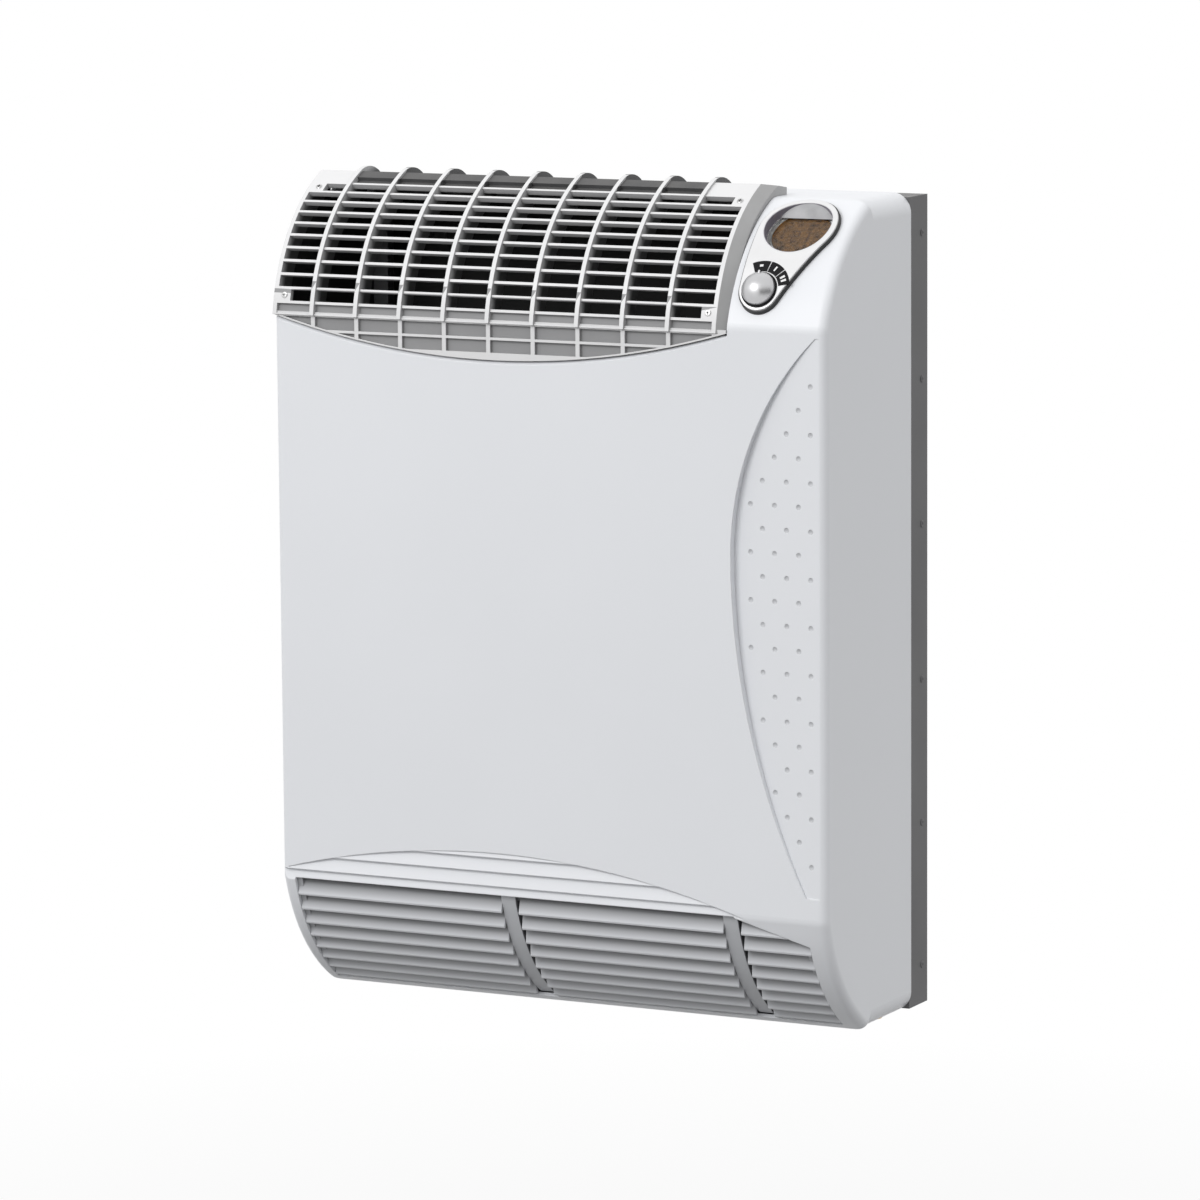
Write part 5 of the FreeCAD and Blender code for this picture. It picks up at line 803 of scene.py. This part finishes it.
SURROUND_STRENGTH = 1.04
world = bpy.data.worlds.new("studio")
scene.world = world
world.use_nodes = True
surround = world.node_tree.nodes["Background"]
surround.inputs["Color"].default_value = WHITE
surround.inputs["Strength"].default_value = SURROUND_STRENGTH

LAMP_SPOT, LAMP_AIM = Vector((-0.75, -2.5, 1.65)), Vector((0, -0.1, 0))
LAMP_WIDTH, LAMP_HEIGHT, LAMP_WATTS = 1.4, 1.0, 33
lamp = bpy.data.lights.new("key_lamp", "AREA")
lamp.shape = "RECTANGLE"
lamp.size, lamp.size_y = LAMP_WIDTH, LAMP_HEIGHT
lamp.energy = LAMP_WATTS
stand = bpy.data.objects.new("key_lamp", lamp)
stand.location = LAMP_SPOT
stand.rotation_euler = (LAMP_AIM - LAMP_SPOT).to_track_quat("-Z", "Y").to_euler()
scene.collection.objects.link(stand)

CARD_SPOT, CARD_HALF = Vector((5.6, -4.6, -1.6)), 5.5
card = sheet("card", CARD_HALF, standing(CARD_SPOT, -CARD_SPOT), painted_shade_black)
card.visible_camera = card.visible_diffuse = card.visible_transmission = card.visible_shadow = False

# Camera: it stands where the photograph was taken from, to the right of the heater and a little above it.
# Its lens is long, and it leans by a fraction of a degree.
AZIMUTH, ELEVATION, LEAN = math.radians(26.829), math.radians(8.381), math.radians(-0.427)
STAND_OFF, LENS, SENSOR, SIGHT_END = 5.6404, 188.03, 36.0, 200.0
CAMERA_AIM = Vector((-0.0074, -0.1, -0.00331))
level = math.cos(ELEVATION)
back = Vector((math.sin(AZIMUTH) * level, -math.cos(AZIMUTH) * level, math.sin(ELEVATION)))
right = Vector((math.cos(AZIMUTH), math.sin(AZIMUTH), 0.0))
above = back.cross(right)
leaning_right = right * math.cos(LEAN) + above * math.sin(LEAN)
leaning_above = above * math.cos(LEAN) - right * math.sin(LEAN)
camera_data = bpy.data.cameras.new("camera")
camera_data.lens, camera_data.sensor_width = LENS, SENSOR
camera_data.clip_end = SIGHT_END
camera = bpy.data.objects.new("camera", camera_data)
turn = Matrix((leaning_right, leaning_above, back)).transposed().to_4x4()
camera.matrix_world = Matrix.Translation(CAMERA_AIM + back * STAND_OFF) @ turn
scene.collection.objects.link(camera)
scene.camera = camera

bpy.context.view_layer.update()
